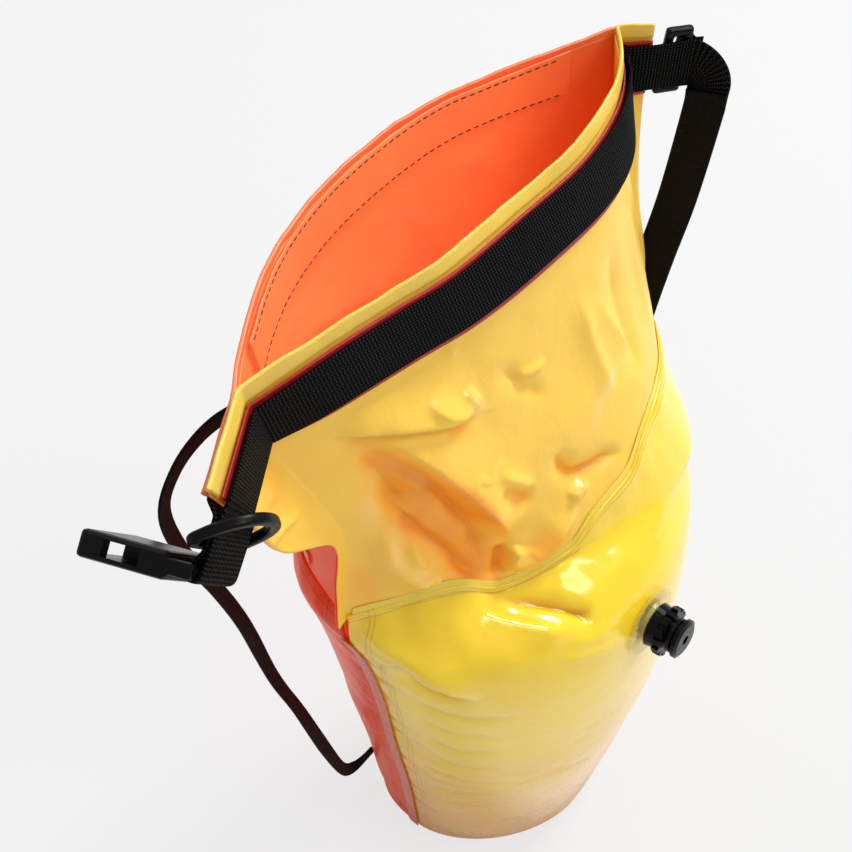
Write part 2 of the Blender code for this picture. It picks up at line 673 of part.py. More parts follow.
def make_d_ring(name, centre, along, across, out, sag):
    """A thick D-ring round the webbing, hinged on its bar behind it and leaning to the bag."""
    inner = d_outline(RING_INSIDE_WIDTH, RING_INSIDE_DEPTH)
    wide = RING_INSIDE_WIDTH + 2 * RING_SECTION
    deep = RING_INSIDE_DEPTH + 2 * RING_SECTION
    outer = [(x, y - RING_SECTION) for x, y in d_outline(wide, deep)]
    ring = outline_object(name, [outer, inner], RING_SECTION, parts)
    for vert in ring.data.vertices:
        vert.co.y += RING_SECTION / 2
    soften = ring.modifiers.new("round", "BEVEL")
    soften.width = 0.0011
    soften.segments = 2
    soften.limit_method = "ANGLE"
    soften.angle_limit = math.radians(50)
    ring.data.materials.append(moulded_black)
    bar = centre - out * (sag + RING_SECTION / 2)
    bow = out * math.cos(RING_TILT) - along * math.sin(RING_TILT)
    ring.matrix_world = axes_matrix(bar, across, bow)


def make_right_ring(ear_end, fan_start, front_normal):
    """The narrow ring behind the webbing's right end, and the strip that keeps its near bar."""
    along = unit(fan_start - ear_end)
    front = unit(front_normal - along * (front_normal @ along))
    upward = unit(np.cross(along, front))
    upward = upward if upward[2] > 0 else -upward
    wide = RIGHT_RING_LENGTH
    tall = RING_INSIDE_WIDTH + 2 * RING_SECTION
    outer = [(-wide, -tall / 2), (0.0, -tall / 2), (0.0, tall / 2), (-wide, tall / 2)]
    inner = [(-wide + RING_SECTION, -RING_INSIDE_WIDTH / 2), (-RING_SECTION, -RING_INSIDE_WIDTH / 2),
             (-RING_SECTION, RING_INSIDE_WIDTH / 2), (-wide + RING_SECTION, RING_INSIDE_WIDTH / 2)]
    ring = outline_object("right_ring", [outer, inner], RING_SECTION, parts)
    for vert in ring.data.vertices:
        vert.co.x += RING_SECTION / 2
    soften = ring.modifiers.new("round", "BEVEL")
    soften.width = 0.0016
    soften.segments = 2
    soften.limit_method = "ANGLE"
    soften.angle_limit = math.radians(50)
    ring.data.materials.append(moulded_black)
    bar = fan_start - along * RIGHT_RING_FROM_FAN
    bar = bar - front * (WEBBING_THICKNESS / 2 + 2 * GAP + RING_SECTION / 2)
    ring.matrix_world = axes_matrix(bar, along, upward)
    near = WEBBING_THICKNESS / 2 + KEEPER_NEAR_GAP + KEEPER_THICKNESS / 2
    far = WEBBING_THICKNESS / 2 + KEEPER_FAR_GAP + RING_SECTION + KEEPER_THICKNESS / 2
    side = RING_SECTION / 2 + GAP + KEEPER_THICKNESS / 2 + 0.0002
    level = bar + front * (WEBBING_THICKNESS / 2 + 2 * GAP + RING_SECTION / 2)
    corner = 0.0009
    route = [(-side, near), (-side, far - corner), (-side + corner, far), (side - corner, far),
             (side, far - corner), (side, near + corner), (side + corner, near), (side + 0.004, near)]
    line = [level + along * x - front * depth for x, depth in route]
    frames = []
    for i, point in enumerate(line):
        run = unit(line[min(i + 1, len(line) - 1)] - line[max(i - 1, 0)])
        frames.append((point, upward, np.cross(run, upward)))
    ribbon("ring_keeper", frames, KEEPER_WIDTH, KEEPER_THICKNESS, webbing_black)


def make_socket(place):
    """Socket half of the side-release buckle, with its side windows and webbing bar."""
    half = BUCKLE_WIDTH / 2
    thick = SOCKET_THICKNESS / 2
    body_start = BAR_RADIUS + SLOT_LENGTH
    body = box("buckle_socket", (body_start, -half, -thick), (SOCKET_LENGTH, half, thick), parts, 0.0016)
    body.data.materials.append(moulded_black)
    for side in (-1, 1):
        low, high = sorted((side * (WEBBING_WIDTH / 2 + 0.0008), side * (half - 0.0004)))
        cheek = box(f"socket_cheek_{side}", (-0.0012, low, -0.0028), (body_start + 0.002, high, 0.0028),
                    guides, 0.0006)
        combine(body, cheek, "UNION")
    bar = rod("socket_bar", SOCKET_BAR_RADIUS, BUCKLE_WIDTH - 0.004, guides)
    combine(body, bar, "UNION")
    mouth = box("socket_mouth", (body_start + 0.004, -0.0123, -0.0031), (SOCKET_LENGTH + 0.002, 0.0123, 0.0031),
                guides)
    combine(body, mouth, "DIFFERENCE")
    window = box("socket_window", (0.0190, -half - 0.002, -0.0029), (0.0340, half + 0.002, 0.0029), guides)
    combine(body, window, "DIFFERENCE")
    body.matrix_world = place


def make_plug(place):
    """Plug half of the buckle: bar, cross-piece, centre prong and two spring arms."""
    half = PLUG_WIDTH / 2
    body = box("buckle_plug", (0.0082, -half, -0.0036), (0.0150, half, 0.0036), parts, 0.0010)
    body.data.materials.append(moulded_black)
    for side in (-1, 1):
        low, high = sorted((side * (STRAP_WIDTH / 2 + 0.0006), side * (half - 0.0002)))
        cheek = box(f"plug_cheek_{side}", (-0.0012, low, -0.0022), (0.0090, high, 0.0022), guides, 0.0004)
        combine(body, cheek, "UNION")
    bar = rod("plug_bar", BAR_RADIUS, PLUG_WIDTH - 0.0028, guides)
    combine(body, bar, "UNION")
    prong = box("plug_prong", (0.0140, -0.0022, -0.0020), (0.0330, 0.0022, 0.0020), guides, 0.0005)
    combine(body, prong, "UNION")
    body.matrix_world = place
    for name, side in (("plug_arm_near", 1), ("plug_arm_far", -1)):
        outline = [(0.0, -0.0017), (0.016, -0.0011), (0.018, -0.0011), (PLUG_ARM_LENGTH, 0.0004),
                   (PLUG_ARM_LENGTH, 0.0014), (0.0175, 0.0040), (0.0155, 0.0040), (0.0150, 0.0013),
                   (0.0, 0.0017)]
        outline = [(x, side * y) for x, y in outline]
        arm = outline_object(name, [outline], 0.0046, parts)
        arm.data.materials.append(moulded_black)
        arm.matrix_world = place @ Matrix.Translation((0.0153, side * 0.0095, 0.0))


def toothed_outline(radius, depth, count):
    """Outline of a disc with square teeth round its rim."""
    points = []
    for i in range(count):
        for share, reach in ((0.00, radius), (0.50, radius), (0.55, radius - depth), (0.95, radius - depth)):
            angle = 2 * math.pi * (i + share) / count
            points.append((reach * math.cos(angle), reach * math.sin(angle)))
    return points


def round_outline(radius, steps=ROUND_STEPS):
    """Outline of a plain disc."""
    return [(radius * math.cos(2 * math.pi * i / steps), radius * math.sin(2 * math.pi * i / steps))
            for i in range(steps)]


def lifted(thing, bottom, thickness):
    """Move an extruded outline's mesh so that its underside is at the given height."""
    for vert in thing.data.vertices:
        vert.co.z += bottom + thickness / 2
    return thing


def make_valve(prefix, place):
    """One inflation valve: flange, body, check flap, toothed twist ring and mouthpiece."""
    low = FABRIC / 2 + GAP
    flange = turned(prefix + "_valve_flange", [
        (BORE_RADIUS + 0.0040, low + 0.0030), (0.0122, low + 0.0030), (0.0130, low + FLANGE_THICKNESS),
        (FLANGE_RADIUS, low + FLANGE_THICKNESS - 0.0003), (FLANGE_RADIUS, low),
        (BORE_RADIUS + 0.0040, low)], ROUND_STEPS, clear_weld)
    base = low + 0.0034
    body = turned(prefix + "_valve_body", [
        (BORE_RADIUS, base + 0.0100), (0.0068, base + 0.0100), (0.0068, base + 0.0050),
        (0.0112, base + 0.0048), (0.0120, base), (0.0082, base), (0.0082, base - 0.0120),
        (0.0062, base - 0.0120), (0.0062, base - 0.0100), (0.0030, base - 0.0100),
        (0.0030, base - 0.0090), (BORE_RADIUS, base - 0.0090)], ROUND_STEPS, moulded_black)
    flap = turned(prefix + "_valve_flap", [
        (0.0, base - 0.0075), (0.0041, base - 0.0075), (0.0041, base - 0.0086), (0.0, base - 0.0086)],
        ROUND_STEPS, rubber_black)
    ring = outline_object(prefix + "_valve_ring", [toothed_outline(0.0134, 0.0018, TEETH),
                                                   round_outline(0.0072)], 0.0040, parts)
    lifted(ring, base + 0.0053, 0.0040)
    ring.data.materials.append(moulded_black)
    mouthpiece = turned(prefix + "_valve_mouthpiece", [
        (0.0026, base + 0.0172), (0.0085, base + 0.0172), (0.0106, base + 0.0162), (0.0106, base + 0.0144),
        (0.0076, base + 0.0140), (0.0076, base + 0.0130), (0.0094, base + 0.0126),
        (0.0094, base + 0.0108), (0.0041, base + 0.0104), (0.0041, base + 0.0040),
        (0.0026, base + 0.0040)], ROUND_STEPS, moulded_black)
    for piece in (flange, body, flap, ring, mouthpiece):
        piece.matrix_world = place


def skin_point(columns, x, height):
    """The point of a skin at a given x and height."""
    row = []
    for column in columns:
        order = np.argsort(column[:, 2])
        row.append([np.interp(height, column[order, 2], column[order, axis]) for axis in range(3)])
    row = np.array(row)
    order = np.argsort(row[:, 0])
    return np.array([np.interp(x, row[order, 0], row[order, axis]) for axis in range(3)])


def skin_place(columns, x, height, facing):
    """World matrix on a skin at a given x and height: z out of the skin, x level."""
    reach = 0.012
    level = skin_point(columns, x + reach, height) - skin_point(columns, x - reach, height)
    upward = skin_point(columns, x, height + reach) - skin_point(columns, x, height - reach)
    return axes_matrix(skin_point(columns, x, height), facing * level, upward)


def make_valves(skins):
    """A valve on each chamber's skin, with the hole that it fills."""
    for prefix, name, x, facing in (("front", "front_chamber_skin", FRONT_VALVE_X, 1),
                                    ("back", "back_chamber_skin", BACK_VALVE_X, -1)):
        skin, columns = skins[name]
        place = skin_place(columns, x, VALVE_HEIGHT, facing)
        make_valve(prefix, place)
        cutter = turned(prefix + "_hole", [(0.0, 0.012), (HOLE_RADIUS, 0.012), (HOLE_RADIUS, -0.012),
                                           (0.0, -0.012)], ROUND_STEPS, clear_weld)
        parts.objects.unlink(cutter)
        guides.objects.link(cutter)
        cutter.matrix_world = place
        combine(skin, cutter, "DIFFERENCE")


def column_place(columns, index, height, facing):
    """World matrix on a fabric at a column and height: z out of the bag, x along the bag."""
    def at_height(column, level):
        order = np.argsort(column[:, 2])
        return np.array([np.interp(level, column[order, 2], column[order, axis]) for axis in range(3)])
    spot = at_height(columns[index], height)
    level = at_height(columns[index + 1], height) - at_height(columns[index - 1], height)
    upward = at_height(columns[index], height + 0.008) - at_height(columns[index], height - 0.008)
    return axes_matrix(spot, facing * level, upward)


def make_patch(name, place, size, surface):
    """A small sewn or welded patch lying on a fabric."""
    wide, tall = size
    low = FABRIC / 2 + GAP + PATCH_RELIEF
    patch = box(name, (-wide / 2, -tall / 2, low), (wide / 2, tall / 2, low + PATCH_THICKNESS), parts, 0.0003)
    patch.data.materials.append(surface)
    patch.matrix_world = place


def make_closure_strap():
    """The strap that hangs from the webbing's right end; returns the plug's bar and directions."""
    line = evenly(curve_through(STRAP_ROUTE), STRAP_STEPS)
    edge = unit(RIGHT_EDGE)
    frames = []
    for i, point in enumerate(line):
        along = unit(line[min(i + 1, STRAP_STEPS - 1)] - line[max(i - 1, 0)])
        across = unit(edge - along * (edge @ along))
        frames.append((point, across, unit(np.cross(along, across))))
    end, across, out = frames[-1]
    along = unit(np.cross(across, out))
    bar = end - out * LOOP_RADIUS
    loop = bar_loop(bar, along, across, out)
    back_layer = [(bar - out * LOOP_RADIUS - along * RETURN_LENGTH, across, -out)]
    ribbon("closure_strap", frames + loop[1:] + back_layer, STRAP_WIDTH, STRAP_THICKNESS, strap_black)
    return bar, along, across


def make_tether(back, skins):
    """The thin tether tape, and the two patches that hold its ends."""
    top = column_place(back, TETHER_TOP_COLUMN, TETHER_TOP_HEIGHT, -1)
    make_patch("tether_patch_top", top, TETHER_PATCH, strap_black)
    foot = column_place(skins["back_chamber_skin"][1], TETHER_FOOT_COLUMN, TETHER_FOOT_HEIGHT, -1)
    make_patch("tether_patch_foot", foot, TETHER_PATCH, strap_black)
    points = evenly(curve_through(TAPE_ROUTE), TAPE_POINTS)
    curve = bpy.data.curves.new("tether_tape", "CURVE")
    curve.dimensions = "3D"
    curve.extrude = TAPE_HALF_WIDTH
    curve.bevel_depth = TAPE_HALF_THICKNESS
    curve.bevel_resolution = 2
    curve.use_fill_caps = True
    spline = curve.splines.new("POLY")
    spline.points.add(len(points) - 1)
    for place, point in zip(spline.points, points):
        place.co = (*point, 1.0)
    tape = bpy.data.objects.new("tether_tape", curve)
    parts.objects.link(tape)
    curve.materials.append(strap_black)


for old in list(bpy.data.objects):
    bpy.data.objects.remove(old)

parts = collection("open_water_swim_buoy")
guides = collection("cutters")

matte_yellow = material("matte_yellow", (0.98, 0.67, 0.11), 0.55)
glossy_yellow = material("glossy_yellow", (0.93, 0.70, 0.06), 0.18)
orange = material("orange", (0.93, 0.19, 0.04), 0.40)
red_orange = material("red_orange", (0.80, 0.06, 0.01), 0.25)
salmon = material("salmon", (0.80, 0.22, 0.12), 0.35)
edging_red = material("edging_red", (0.45, 0.01, 0.02), 0.60)
strip_white = material("strip_white", (0.75, 0.72, 0.68), 0.50)
webbing_black = material("webbing_black", (0.006, 0.007, 0.007), 0.75)
strap_black = material("strap_black", (0.006, 0.005, 0.004), 0.45)
moulded_black = material("moulded_black", (0.007, 0.007, 0.007), 0.28)
rubber_black = material("rubber_black", (0.010, 0.010, 0.010), 0.70)
clear_weld = material("clear_weld", (0.90, 0.88, 0.70), 0.15, alpha=0.6)

front_columns, back_columns = make_upper_panels()
chamber_skins = make_chambers(front_columns, back_columns)
make_base()
make_seam_strips()
make_weld_strips(front_columns, back_columns)
make_rim(front_columns, back_columns)
hold = make_webbing(front_columns)
make_d_ring("left_d_ring", *hold["left_ring"], PRESSED_LAYERS + WEBBING_THICKNESS / 2 + RING_SAG)
make_right_ring(hold["right_centre"], hold["fan_start"], hold["right_normal"])
left_across = hold["left_across"]
socket_run = np.array(SOCKET_DIRECTION) - left_across * (np.array(SOCKET_DIRECTION) @ left_across)
make_socket(axes_matrix(hold["left_bar"], socket_run, left_across))
make_plug(axes_matrix(*make_closure_strap()))
make_valves(chamber_skins)
make_tether(back_columns, chamber_skins)
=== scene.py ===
"""Looks of a roll-top dry-bag swim buoy, laid out as a Blender add-on and run as a script."""

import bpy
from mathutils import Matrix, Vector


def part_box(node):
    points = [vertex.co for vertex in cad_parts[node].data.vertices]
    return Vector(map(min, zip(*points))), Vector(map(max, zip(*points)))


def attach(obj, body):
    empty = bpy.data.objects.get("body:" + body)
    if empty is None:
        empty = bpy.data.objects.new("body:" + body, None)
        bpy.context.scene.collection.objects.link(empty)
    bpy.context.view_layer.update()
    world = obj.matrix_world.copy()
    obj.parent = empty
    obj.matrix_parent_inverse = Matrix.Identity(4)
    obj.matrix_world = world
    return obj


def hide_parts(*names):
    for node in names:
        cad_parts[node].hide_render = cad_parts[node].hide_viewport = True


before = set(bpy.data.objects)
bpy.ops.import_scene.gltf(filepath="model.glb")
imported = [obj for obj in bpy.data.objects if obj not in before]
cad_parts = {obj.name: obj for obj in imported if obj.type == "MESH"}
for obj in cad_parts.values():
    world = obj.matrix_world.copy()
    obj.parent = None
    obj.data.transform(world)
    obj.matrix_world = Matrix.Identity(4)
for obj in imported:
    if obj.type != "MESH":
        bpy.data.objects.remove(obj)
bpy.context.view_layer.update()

import contextlib
import math

import bmesh
import bpy
import numpy as np
from bpy.props import FloatProperty, FloatVectorProperty, IntProperty, PointerProperty
from mathutils import Matrix, Vector

bl_info = {
    "name": "Swim Buoy Looks",
    "version": (1, 0, 0),
    "blender": (4, 5, 0),
    "location": "View3D > Sidebar > Swim Buoy",
    "description": "Builds the fabric, webbing, valves and materials of a roll-top swim buoy",
    "category": "Object",
}

BODY = "bag"

# Columns of faces across an ear, and how many columns the plain solids have between the folds
EAR_COLUMNS = 16
SOLID_COLUMNS = 22

# Fabric, gaps between layers, hems and strips, in metres
FABRIC = 0.0008
GAP = 0.0004
PANEL_HALF_GAP = 0.0009
WELD_GAP = 0.0013
WALL_INSET = 0.0012
SKIN_SEAM_GAP = 0.0017
WALL_SEAM_GAP = 0.0007
EDGING_GAP = 0.0010
EDGING_THICKNESS = 0.0007
WEBBING_GAP = 0.0014
RIM_CUT = 0.0026
LEAST_LAP = 0.003
HEM_HEIGHT = 0.0037
HEM_THICKNESS = 0.0022
BACK_HEM_HEIGHT = 0.024
STIFFENER_HEIGHT = 0.018
BAND_TOP = 0.0060
BASE_THICKNESS = 0.0015
SEAM_STRIP_WIDTH = 0.008
WELD_STRIP_WIDTH = 0.007
WELD_STRIP_THICKNESS = 0.0004
VALVE_HOLE = 0.0112
FRONT_RELIEF = 1.45
BASE_ROUNDING = 0.0004
BASE_RINGS = 10
SEAM_STAND_OFF = 0.0014
BACK_WELD_HEIGHT = 0.0045
EDGING_SHORTER = 0.0014
EDGING_LONGER = 0.0016

# How far below the rim each strip inside the back hem starts and ends
STIFFENER_SPAN = (0.0051, 0.0231)
LINING_SPAN = (0.0005, 0.0245)
STITCHES_FROM_END = 0.003
THREAD_ABOVE_CLOTH = 0.0001

# Step between the frames of a strip, and the length over which its corners are rounded
SEAM_STEPS = (0.0010, 0.0020)
WELD_STEPS = (0.0010, 0.0015)
HEM_STEPS = (0.0011, 0.0022)
STIFFENER_STEPS = (0.0015, 0.0030)
LINING_STEPS = (0.0011, 0.0030)
EDGING_STEPS = (0.0010, 0.0022)
WEBBING_STEPS = (0.0009, 0.0012)
KEEPER_STEPS = (0.0004, 0.0004)
STRAP_STEPS = (0.0010, 0.0012)

# Distances over which creases, puckers and the front's painted warm shade grow from nothing to
# their full depth
CREASES_BELOW_BAND = (0.031, 0.046)
CREASES_ABOVE_WELD = (0.001, 0.012)
PAINTED_SHADE_BELOW_BAND = (0.028, 0.036)
PUCKERS_FROM_SIDE = (0.0005, 0.010)
PUCKERS_FROM_TOP = (0.001, 0.006)
PUCKERS_FROM_BASE = (0.003, 0.016)

# The two layers of an ear may puff out, and sink by only this much
EAR_PUFF = 0.55
EAR_SOFTNESS = 0.0006
EAR_SINK = 0.0005

# Puckers of the film: the direction in which they run, their width, the seed of their noise,
# their share of the depth, the edge that they start at and how far from it they reach
PUCKERS = [
    ("upright", 0.0075, 11, 1.0, "top", 0.013),
    ("upright", 0.016, 12, 1.3, "top", 0.030),
    ("level", 0.0085, 13, 1.0, "side", 0.014),
    ("level", 0.019, 14, 1.2, "side", 0.034),
    ("upright", 0.011, 15, 0.8, "base", 0.016),
]

# The left loop with its bar, ring and socket
BAR_RADIUS = 0.002
BAR_CLEARANCE = 0.0003
LEFT_LOOP = np.array((-0.192, 0.001, 0.450))
LEFT_LOOP_ACROSS = np.array((0.41, 0.00, -0.91))
RETURN_LENGTH = 0.014
TWIST_LENGTH = 0.005
RING_PLACE = 0.0150
RING_SECTION = 0.0042
RING_INSIDE_WIDTH = 0.0270
RING_INSIDE_DEPTH = 0.0185
RING_CORNER = 0.0034
RING_FOOT = 0.55
RING_EDGE = 0.0013
RING_BAR = (-0.185947, 0.009682, 0.454743)
RING_ACROSS = (0.5689, 0.0518, -0.8208)

# The right end, its keeper strip, and the strap and tape that hang free
RIGHT_TURN = np.array((0.1375, 0.0245, 0.462))
RIGHT_EDGE = np.array((0.30, -0.954, 0.0))
BEHIND_STRAP = np.array((0.954, 0.30, 0.0))
LAP_LENGTH = 0.011
KEEPER_WIDTH = 0.0245
KEEPER_THICKNESS = 0.0014
KEEPER_SLACK = 0.0002
KEEPER_CORNER = 0.0009
KEEPER_FOOT = 0.004
RIGHT_RING_FROM_FAN = 0.0035
STRAP_THICKNESS = 0.0014
TAPE_HALF_THICKNESS = 0.0006

# Along one stitch: share of its length, how far it stands out of the cloth and how thick it is
STITCH_SHAPE = [(0.0, -1.0, 0.45), (0.15, 0.1, 0.9), (0.5, 0.3, 1.0), (0.85, 0.1, 0.9),
                (1.0, -1.0, 0.45)]

# Camera and studio
PHOTO_SIDE = 852
FOCAL_LENGTH_IN_PIXELS = 1200
SENSOR_WIDTH = 36.0
FLOOR_SIZE = 14.0
FLOOR_HEIGHT = -0.0003
FLOOR_GLOW = 0.80
PALE = (0.905, 0.905, 0.905, 1.0)
WORLD_STRENGTH = 0.42
LIT_POINT = (0.0, 0.0, 0.25)
# Name, place, side in metres and power in watts
LIGHTS = [
    ("key_light", (2.00, -0.20, 2.60), 0.9, 66.0),
    ("front_light", (0.60, -1.70, 2.70), 1.1, 22.0),
    ("back_light", (0.30, 1.60, 2.40), 1.3, 12.0),
]

# Side seam of the upper bag, from the rim down to the chambers' top weld, in metres
LEFT_TIP = [(-0.183, 0.010, 0.480), (-0.167, 0.014, 0.443), (-0.151, 0.018, 0.402),
            (-0.122, 0.020, 0.372), (-0.124, 0.019, 0.340), (-0.127, 0.017, 0.314)]
LEFT_FOLD = [(-0.146, 0.035, 0.478), (-0.137, 0.035, 0.442), (-0.122, 0.027, 0.399),
             (-0.114, 0.021, 0.366), (-0.118, 0.020, 0.336), (-0.121, 0.018, 0.314)]
RIGHT_FOLD = [(0.113, 0.053, 0.492), (0.114, 0.048, 0.448), (0.116, 0.038, 0.402),
              (0.1215, 0.025, 0.360), (0.1205, 0.021, 0.330), (0.117, 0.018, 0.308)]
RIGHT_TIP = [(0.123, 0.039, 0.494), (0.125, 0.040, 0.450), (0.127, 0.036, 0.402),
             (0.1265, 0.025, 0.360), (0.1245, 0.021, 0.330), (0.121, 0.018, 0.308)]

# Upper panels between the folds, row by row from the rim to the weld
FRONT_ROWS = [
    [(-0.108, 0.030, 0.480), (-0.076, 0.026, 0.480), (-0.047, 0.022, 0.480), (-0.005, 0.022, 0.481),
     (0.037, 0.022, 0.483), (0.072, 0.028, 0.487), (0.095, 0.038, 0.490)],
    [(-0.108, 0.024, 0.445), (-0.067, 0.016, 0.445), (-0.036, 0.010, 0.446), (0.000, 0.007, 0.447),
     (0.045, 0.008, 0.449), (0.070, 0.014, 0.451), (0.092, 0.027, 0.452)],
    [(-0.098, 0.014, 0.400), (-0.070, 0.004, 0.400), (-0.038, -0.004, 0.400),
     (0.000, -0.007, 0.400), (0.040, -0.006, 0.400), (0.075, 0.003, 0.400), (0.100, 0.018, 0.402)],
    [(-0.094, 0.004, 0.364), (-0.070, -0.006, 0.362), (-0.038, -0.016, 0.358),
     (0.000, -0.024, 0.358), (0.042, -0.024, 0.358), (0.076, -0.013, 0.358), (0.104, 0.006, 0.358)],
    [(-0.100, 0.003, 0.338), (-0.078, -0.009, 0.336), (-0.050, -0.020, 0.328),
     (-0.012, -0.034, 0.331), (0.035, -0.037, 0.331), (0.074, -0.027, 0.328),
     (0.104, -0.004, 0.328)],
    [(-0.106, 0.003, 0.320), (-0.081, -0.015, 0.322), (-0.057, -0.026, 0.306),
     (-0.018, -0.041, 0.309), (0.030, -0.046, 0.308), (0.072, -0.040, 0.303),
     (0.102, -0.015, 0.303)],
]
BACK_ROWS = [
    [(-0.123, 0.054, 0.479), (-0.087, 0.075, 0.480), (-0.048, 0.087, 0.481), (-0.006, 0.091, 0.482),
     (0.027, 0.088, 0.484), (0.050, 0.080, 0.486), (0.082, 0.067, 0.489)],
    [(-0.115, 0.057, 0.443), (-0.083, 0.075, 0.444), (-0.045, 0.086, 0.445), (-0.004, 0.090, 0.446),
     (0.032, 0.088, 0.447), (0.060, 0.080, 0.447), (0.092, 0.064, 0.448)],
    [(-0.110, 0.054, 0.400), (-0.082, 0.073, 0.400), (-0.045, 0.084, 0.400), (0.000, 0.087, 0.400),
     (0.040, 0.085, 0.400), (0.073, 0.075, 0.400), (0.102, 0.056, 0.401)],
    [(-0.105, 0.051, 0.362), (-0.080, 0.070, 0.362), (-0.045, 0.081, 0.362), (0.000, 0.084, 0.362),
     (0.043, 0.082, 0.362), (0.078, 0.071, 0.362), (0.108, 0.048, 0.360)],
    [(-0.108, 0.054, 0.335), (-0.080, 0.074, 0.336), (-0.045, 0.084, 0.337), (0.000, 0.087, 0.337),
     (0.043, 0.084, 0.336), (0.078, 0.072, 0.334), (0.108, 0.048, 0.332)],
    [(-0.108, 0.056, 0.318), (-0.082, 0.075, 0.321), (-0.045, 0.086, 0.323), (0.000, 0.089, 0.323),
     (0.043, 0.086, 0.321), (0.078, 0.072, 0.317), (0.107, 0.047, 0.312)],
]

# The inflated part, level by level: z, seam x left and right, seam y, then how far the front skin,
# front wall, back wall and back skin stand from the seam plane
LEVELS = [
    (0.295, -0.121, 0.116, 0.017, 0.080, 0.050, 0.062, 0.083),
    (0.270, -0.114, 0.112, 0.015, 0.092, 0.026, 0.046, 0.087),
    (0.220, -0.105, 0.106, 0.014, 0.094, 0.008, 0.034, 0.083),
    (0.150, -0.097, 0.098, 0.013, 0.091, 0.006, 0.031, 0.076),
    (0.090, -0.089, 0.090, 0.012, 0.082, 0.008, 0.032, 0.069),
    (0.040, -0.083, 0.084, 0.013, 0.077, 0.030, 0.040, 0.062),
    (0.0022, -0.079, 0.079, 0.014, 0.073, 0.062, 0.047, 0.054),
]
FRONT_SKIN, FRONT_WALL, BACK_WALL, BACK_SKIN = 4, 5, 6, 7
FRONT_SQUARENESS = [(2.1, 2.0), (2.2, 2.0), (2.3, 2.2), (2.3, 2.4), (2.2, 2.7), (2.0, 2.8),
                    (1.7, 2.8)]
BACK_SQUARENESS = [(2.4, 2.4), (2.6, 2.6), (2.6, 2.6), (2.6, 2.6), (2.6, 2.6), (2.7, 2.7),
                   (2.8, 2.8)]
WALL_SQUARENESS = [(2.0, 2.0)] * 6 + [(1.7, 2.6)]

# Creases: height, width on the upper side, width on the lower side, then the line in millimetres.
# A negative height is a valley.
PANEL_CREASES = [
    (3.6, 16, 2.2, [(-117, 25, 435), (-95, 17, 427), (-70, 8, 416.5), (-50, 1, 409)]),
    (-1.8, 3, 5, [(-117, 25, 433), (-95, 17, 424), (-70, 8, 413.5), (-50, 1, 406)]),
    (2.4, 9, 2.5, [(-74, 12, 429), (-66, 7.5, 419), (-50, 1, 410)]),
    (2.2, 3, 3, [(-55, 7, 425), (-48, 1, 411)]),
    (7.5, 20, 4, [(-101, 19, 427), (-82, 9, 406), (-69.5, -1, 382.5), (-55, -13, 352.5),
                  (-45, -22, 331)]),
    (-4.6, 4, 5, [(-81, 6, 395), (-70, -5, 366), (-63, -12, 347), (-62, -24, 311)]),
    (-4.5, 10, 10, [(-107, 20, 418), (-97, 14, 402), (-92, 8, 384), (-89, 3.5, 374)]),
    (2.0, 3, 4, [(-104, 18, 409), (-90, 9, 395), (-78, 1, 378), (-70, -5, 362)]),
    (-6.0, 11, 8, [(-104, 15, 391), (-94, 6.5, 376.5), (-84.5, -2.5, 356), (-74, -12, 333),
                   (-65, -23, 312)]),
    (2.2, 3, 4, [(-99, 11, 385), (-88, 3, 371), (-78, -5, 352), (-69, -14, 332)]),
    (4.2, 4, 7, [(-102, 11, 373.5), (-100, 6, 352), (-91, -5, 333), (-83, -13, 325)]),
    (2.6, 2.5, 2.5, [(-92, 2, 362), (-91.5, 0, 350), (-90, -2, 344), (-85, -5, 342.5)]),
    (4.0, 8, 3, [(-45, -22, 329), (-54, -23, 317)]),
    (-4.2, 4, 4, [(-51, -19, 333), (-55, -20.5, 323), (-59, -23, 313)]),
    (3.4, 5, 7, [(-10, -32, 334), (-27, -32, 324), (-42.5, -29.6, 313.5), (-50, -29, 309)]),
    (-4.4, 5, 5, [(-10.6, -20, 366), (-13, -22, 358), (-8, -27, 348.5), (4, -31, 344.6),
                  (15, -32, 343), (25, -34, 338)]),
    (3.0, 3, 4, [(-15, -30.5, 337.6), (-10, -31, 340), (-1, -32, 341.5)]),
    (-3.2, 6, 6, [(-50.6, -11, 368), (-42, -16, 357), (-33, -21, 349)]),
    (2.2, 3, 4, [(-49, -9, 377), (-40, -14, 366), (-30, -19, 355)]),
    (1.2, 1.7, 1.7, [(-69, -1, 383), (-64, -3, 379), (-60, -5, 382), (-55, -7, 377),
                     (-50, -8, 380), (-40, -11, 376)]),
    (1.0, 1.6, 1.6, [(-66, -3, 376), (-60, -6, 374), (-55, -9, 377), (-49, -10, 373)]),
    (2.0, 2.6, 3, [(-26, -2, 412.5), (-18, -3, 410), (-6, -4, 409)]),
    (1.6, 2.6, 3, [(-56, 13, 446), (-53, 11, 439)]),
    (-2.0, 5, 5, [(-36, 0, 425), (-22, -3, 405), (-12, -8, 392)]),
    (1.8, 7, 7, [(20, 2, 430), (24, -8, 395), (30, -22, 365)]),
    (-1.8, 8, 8, [(48, 5, 435), (52, -6, 395), (56, -18, 360)]),
    (1.6, 5, 6, [(32, -4, 415), (44, -9, 392), (50, -14, 376)]),
    (1.5, 6, 6, [(75, 12, 440), (80, 5, 400), (86, -5, 350)]),
    (-2.4, 3, 4, [(-160, 20, 430), (-140, 24, 420), (-128, 28, 410)]),
    (2.0, 3, 3, [(-158, 18, 414), (-145, 22, 412), (-134, 25, 405)]),
    (1.4, 4, 4, [(-150, 22, 440), (-146, 24, 425), (-142, 24, 408)]),
]
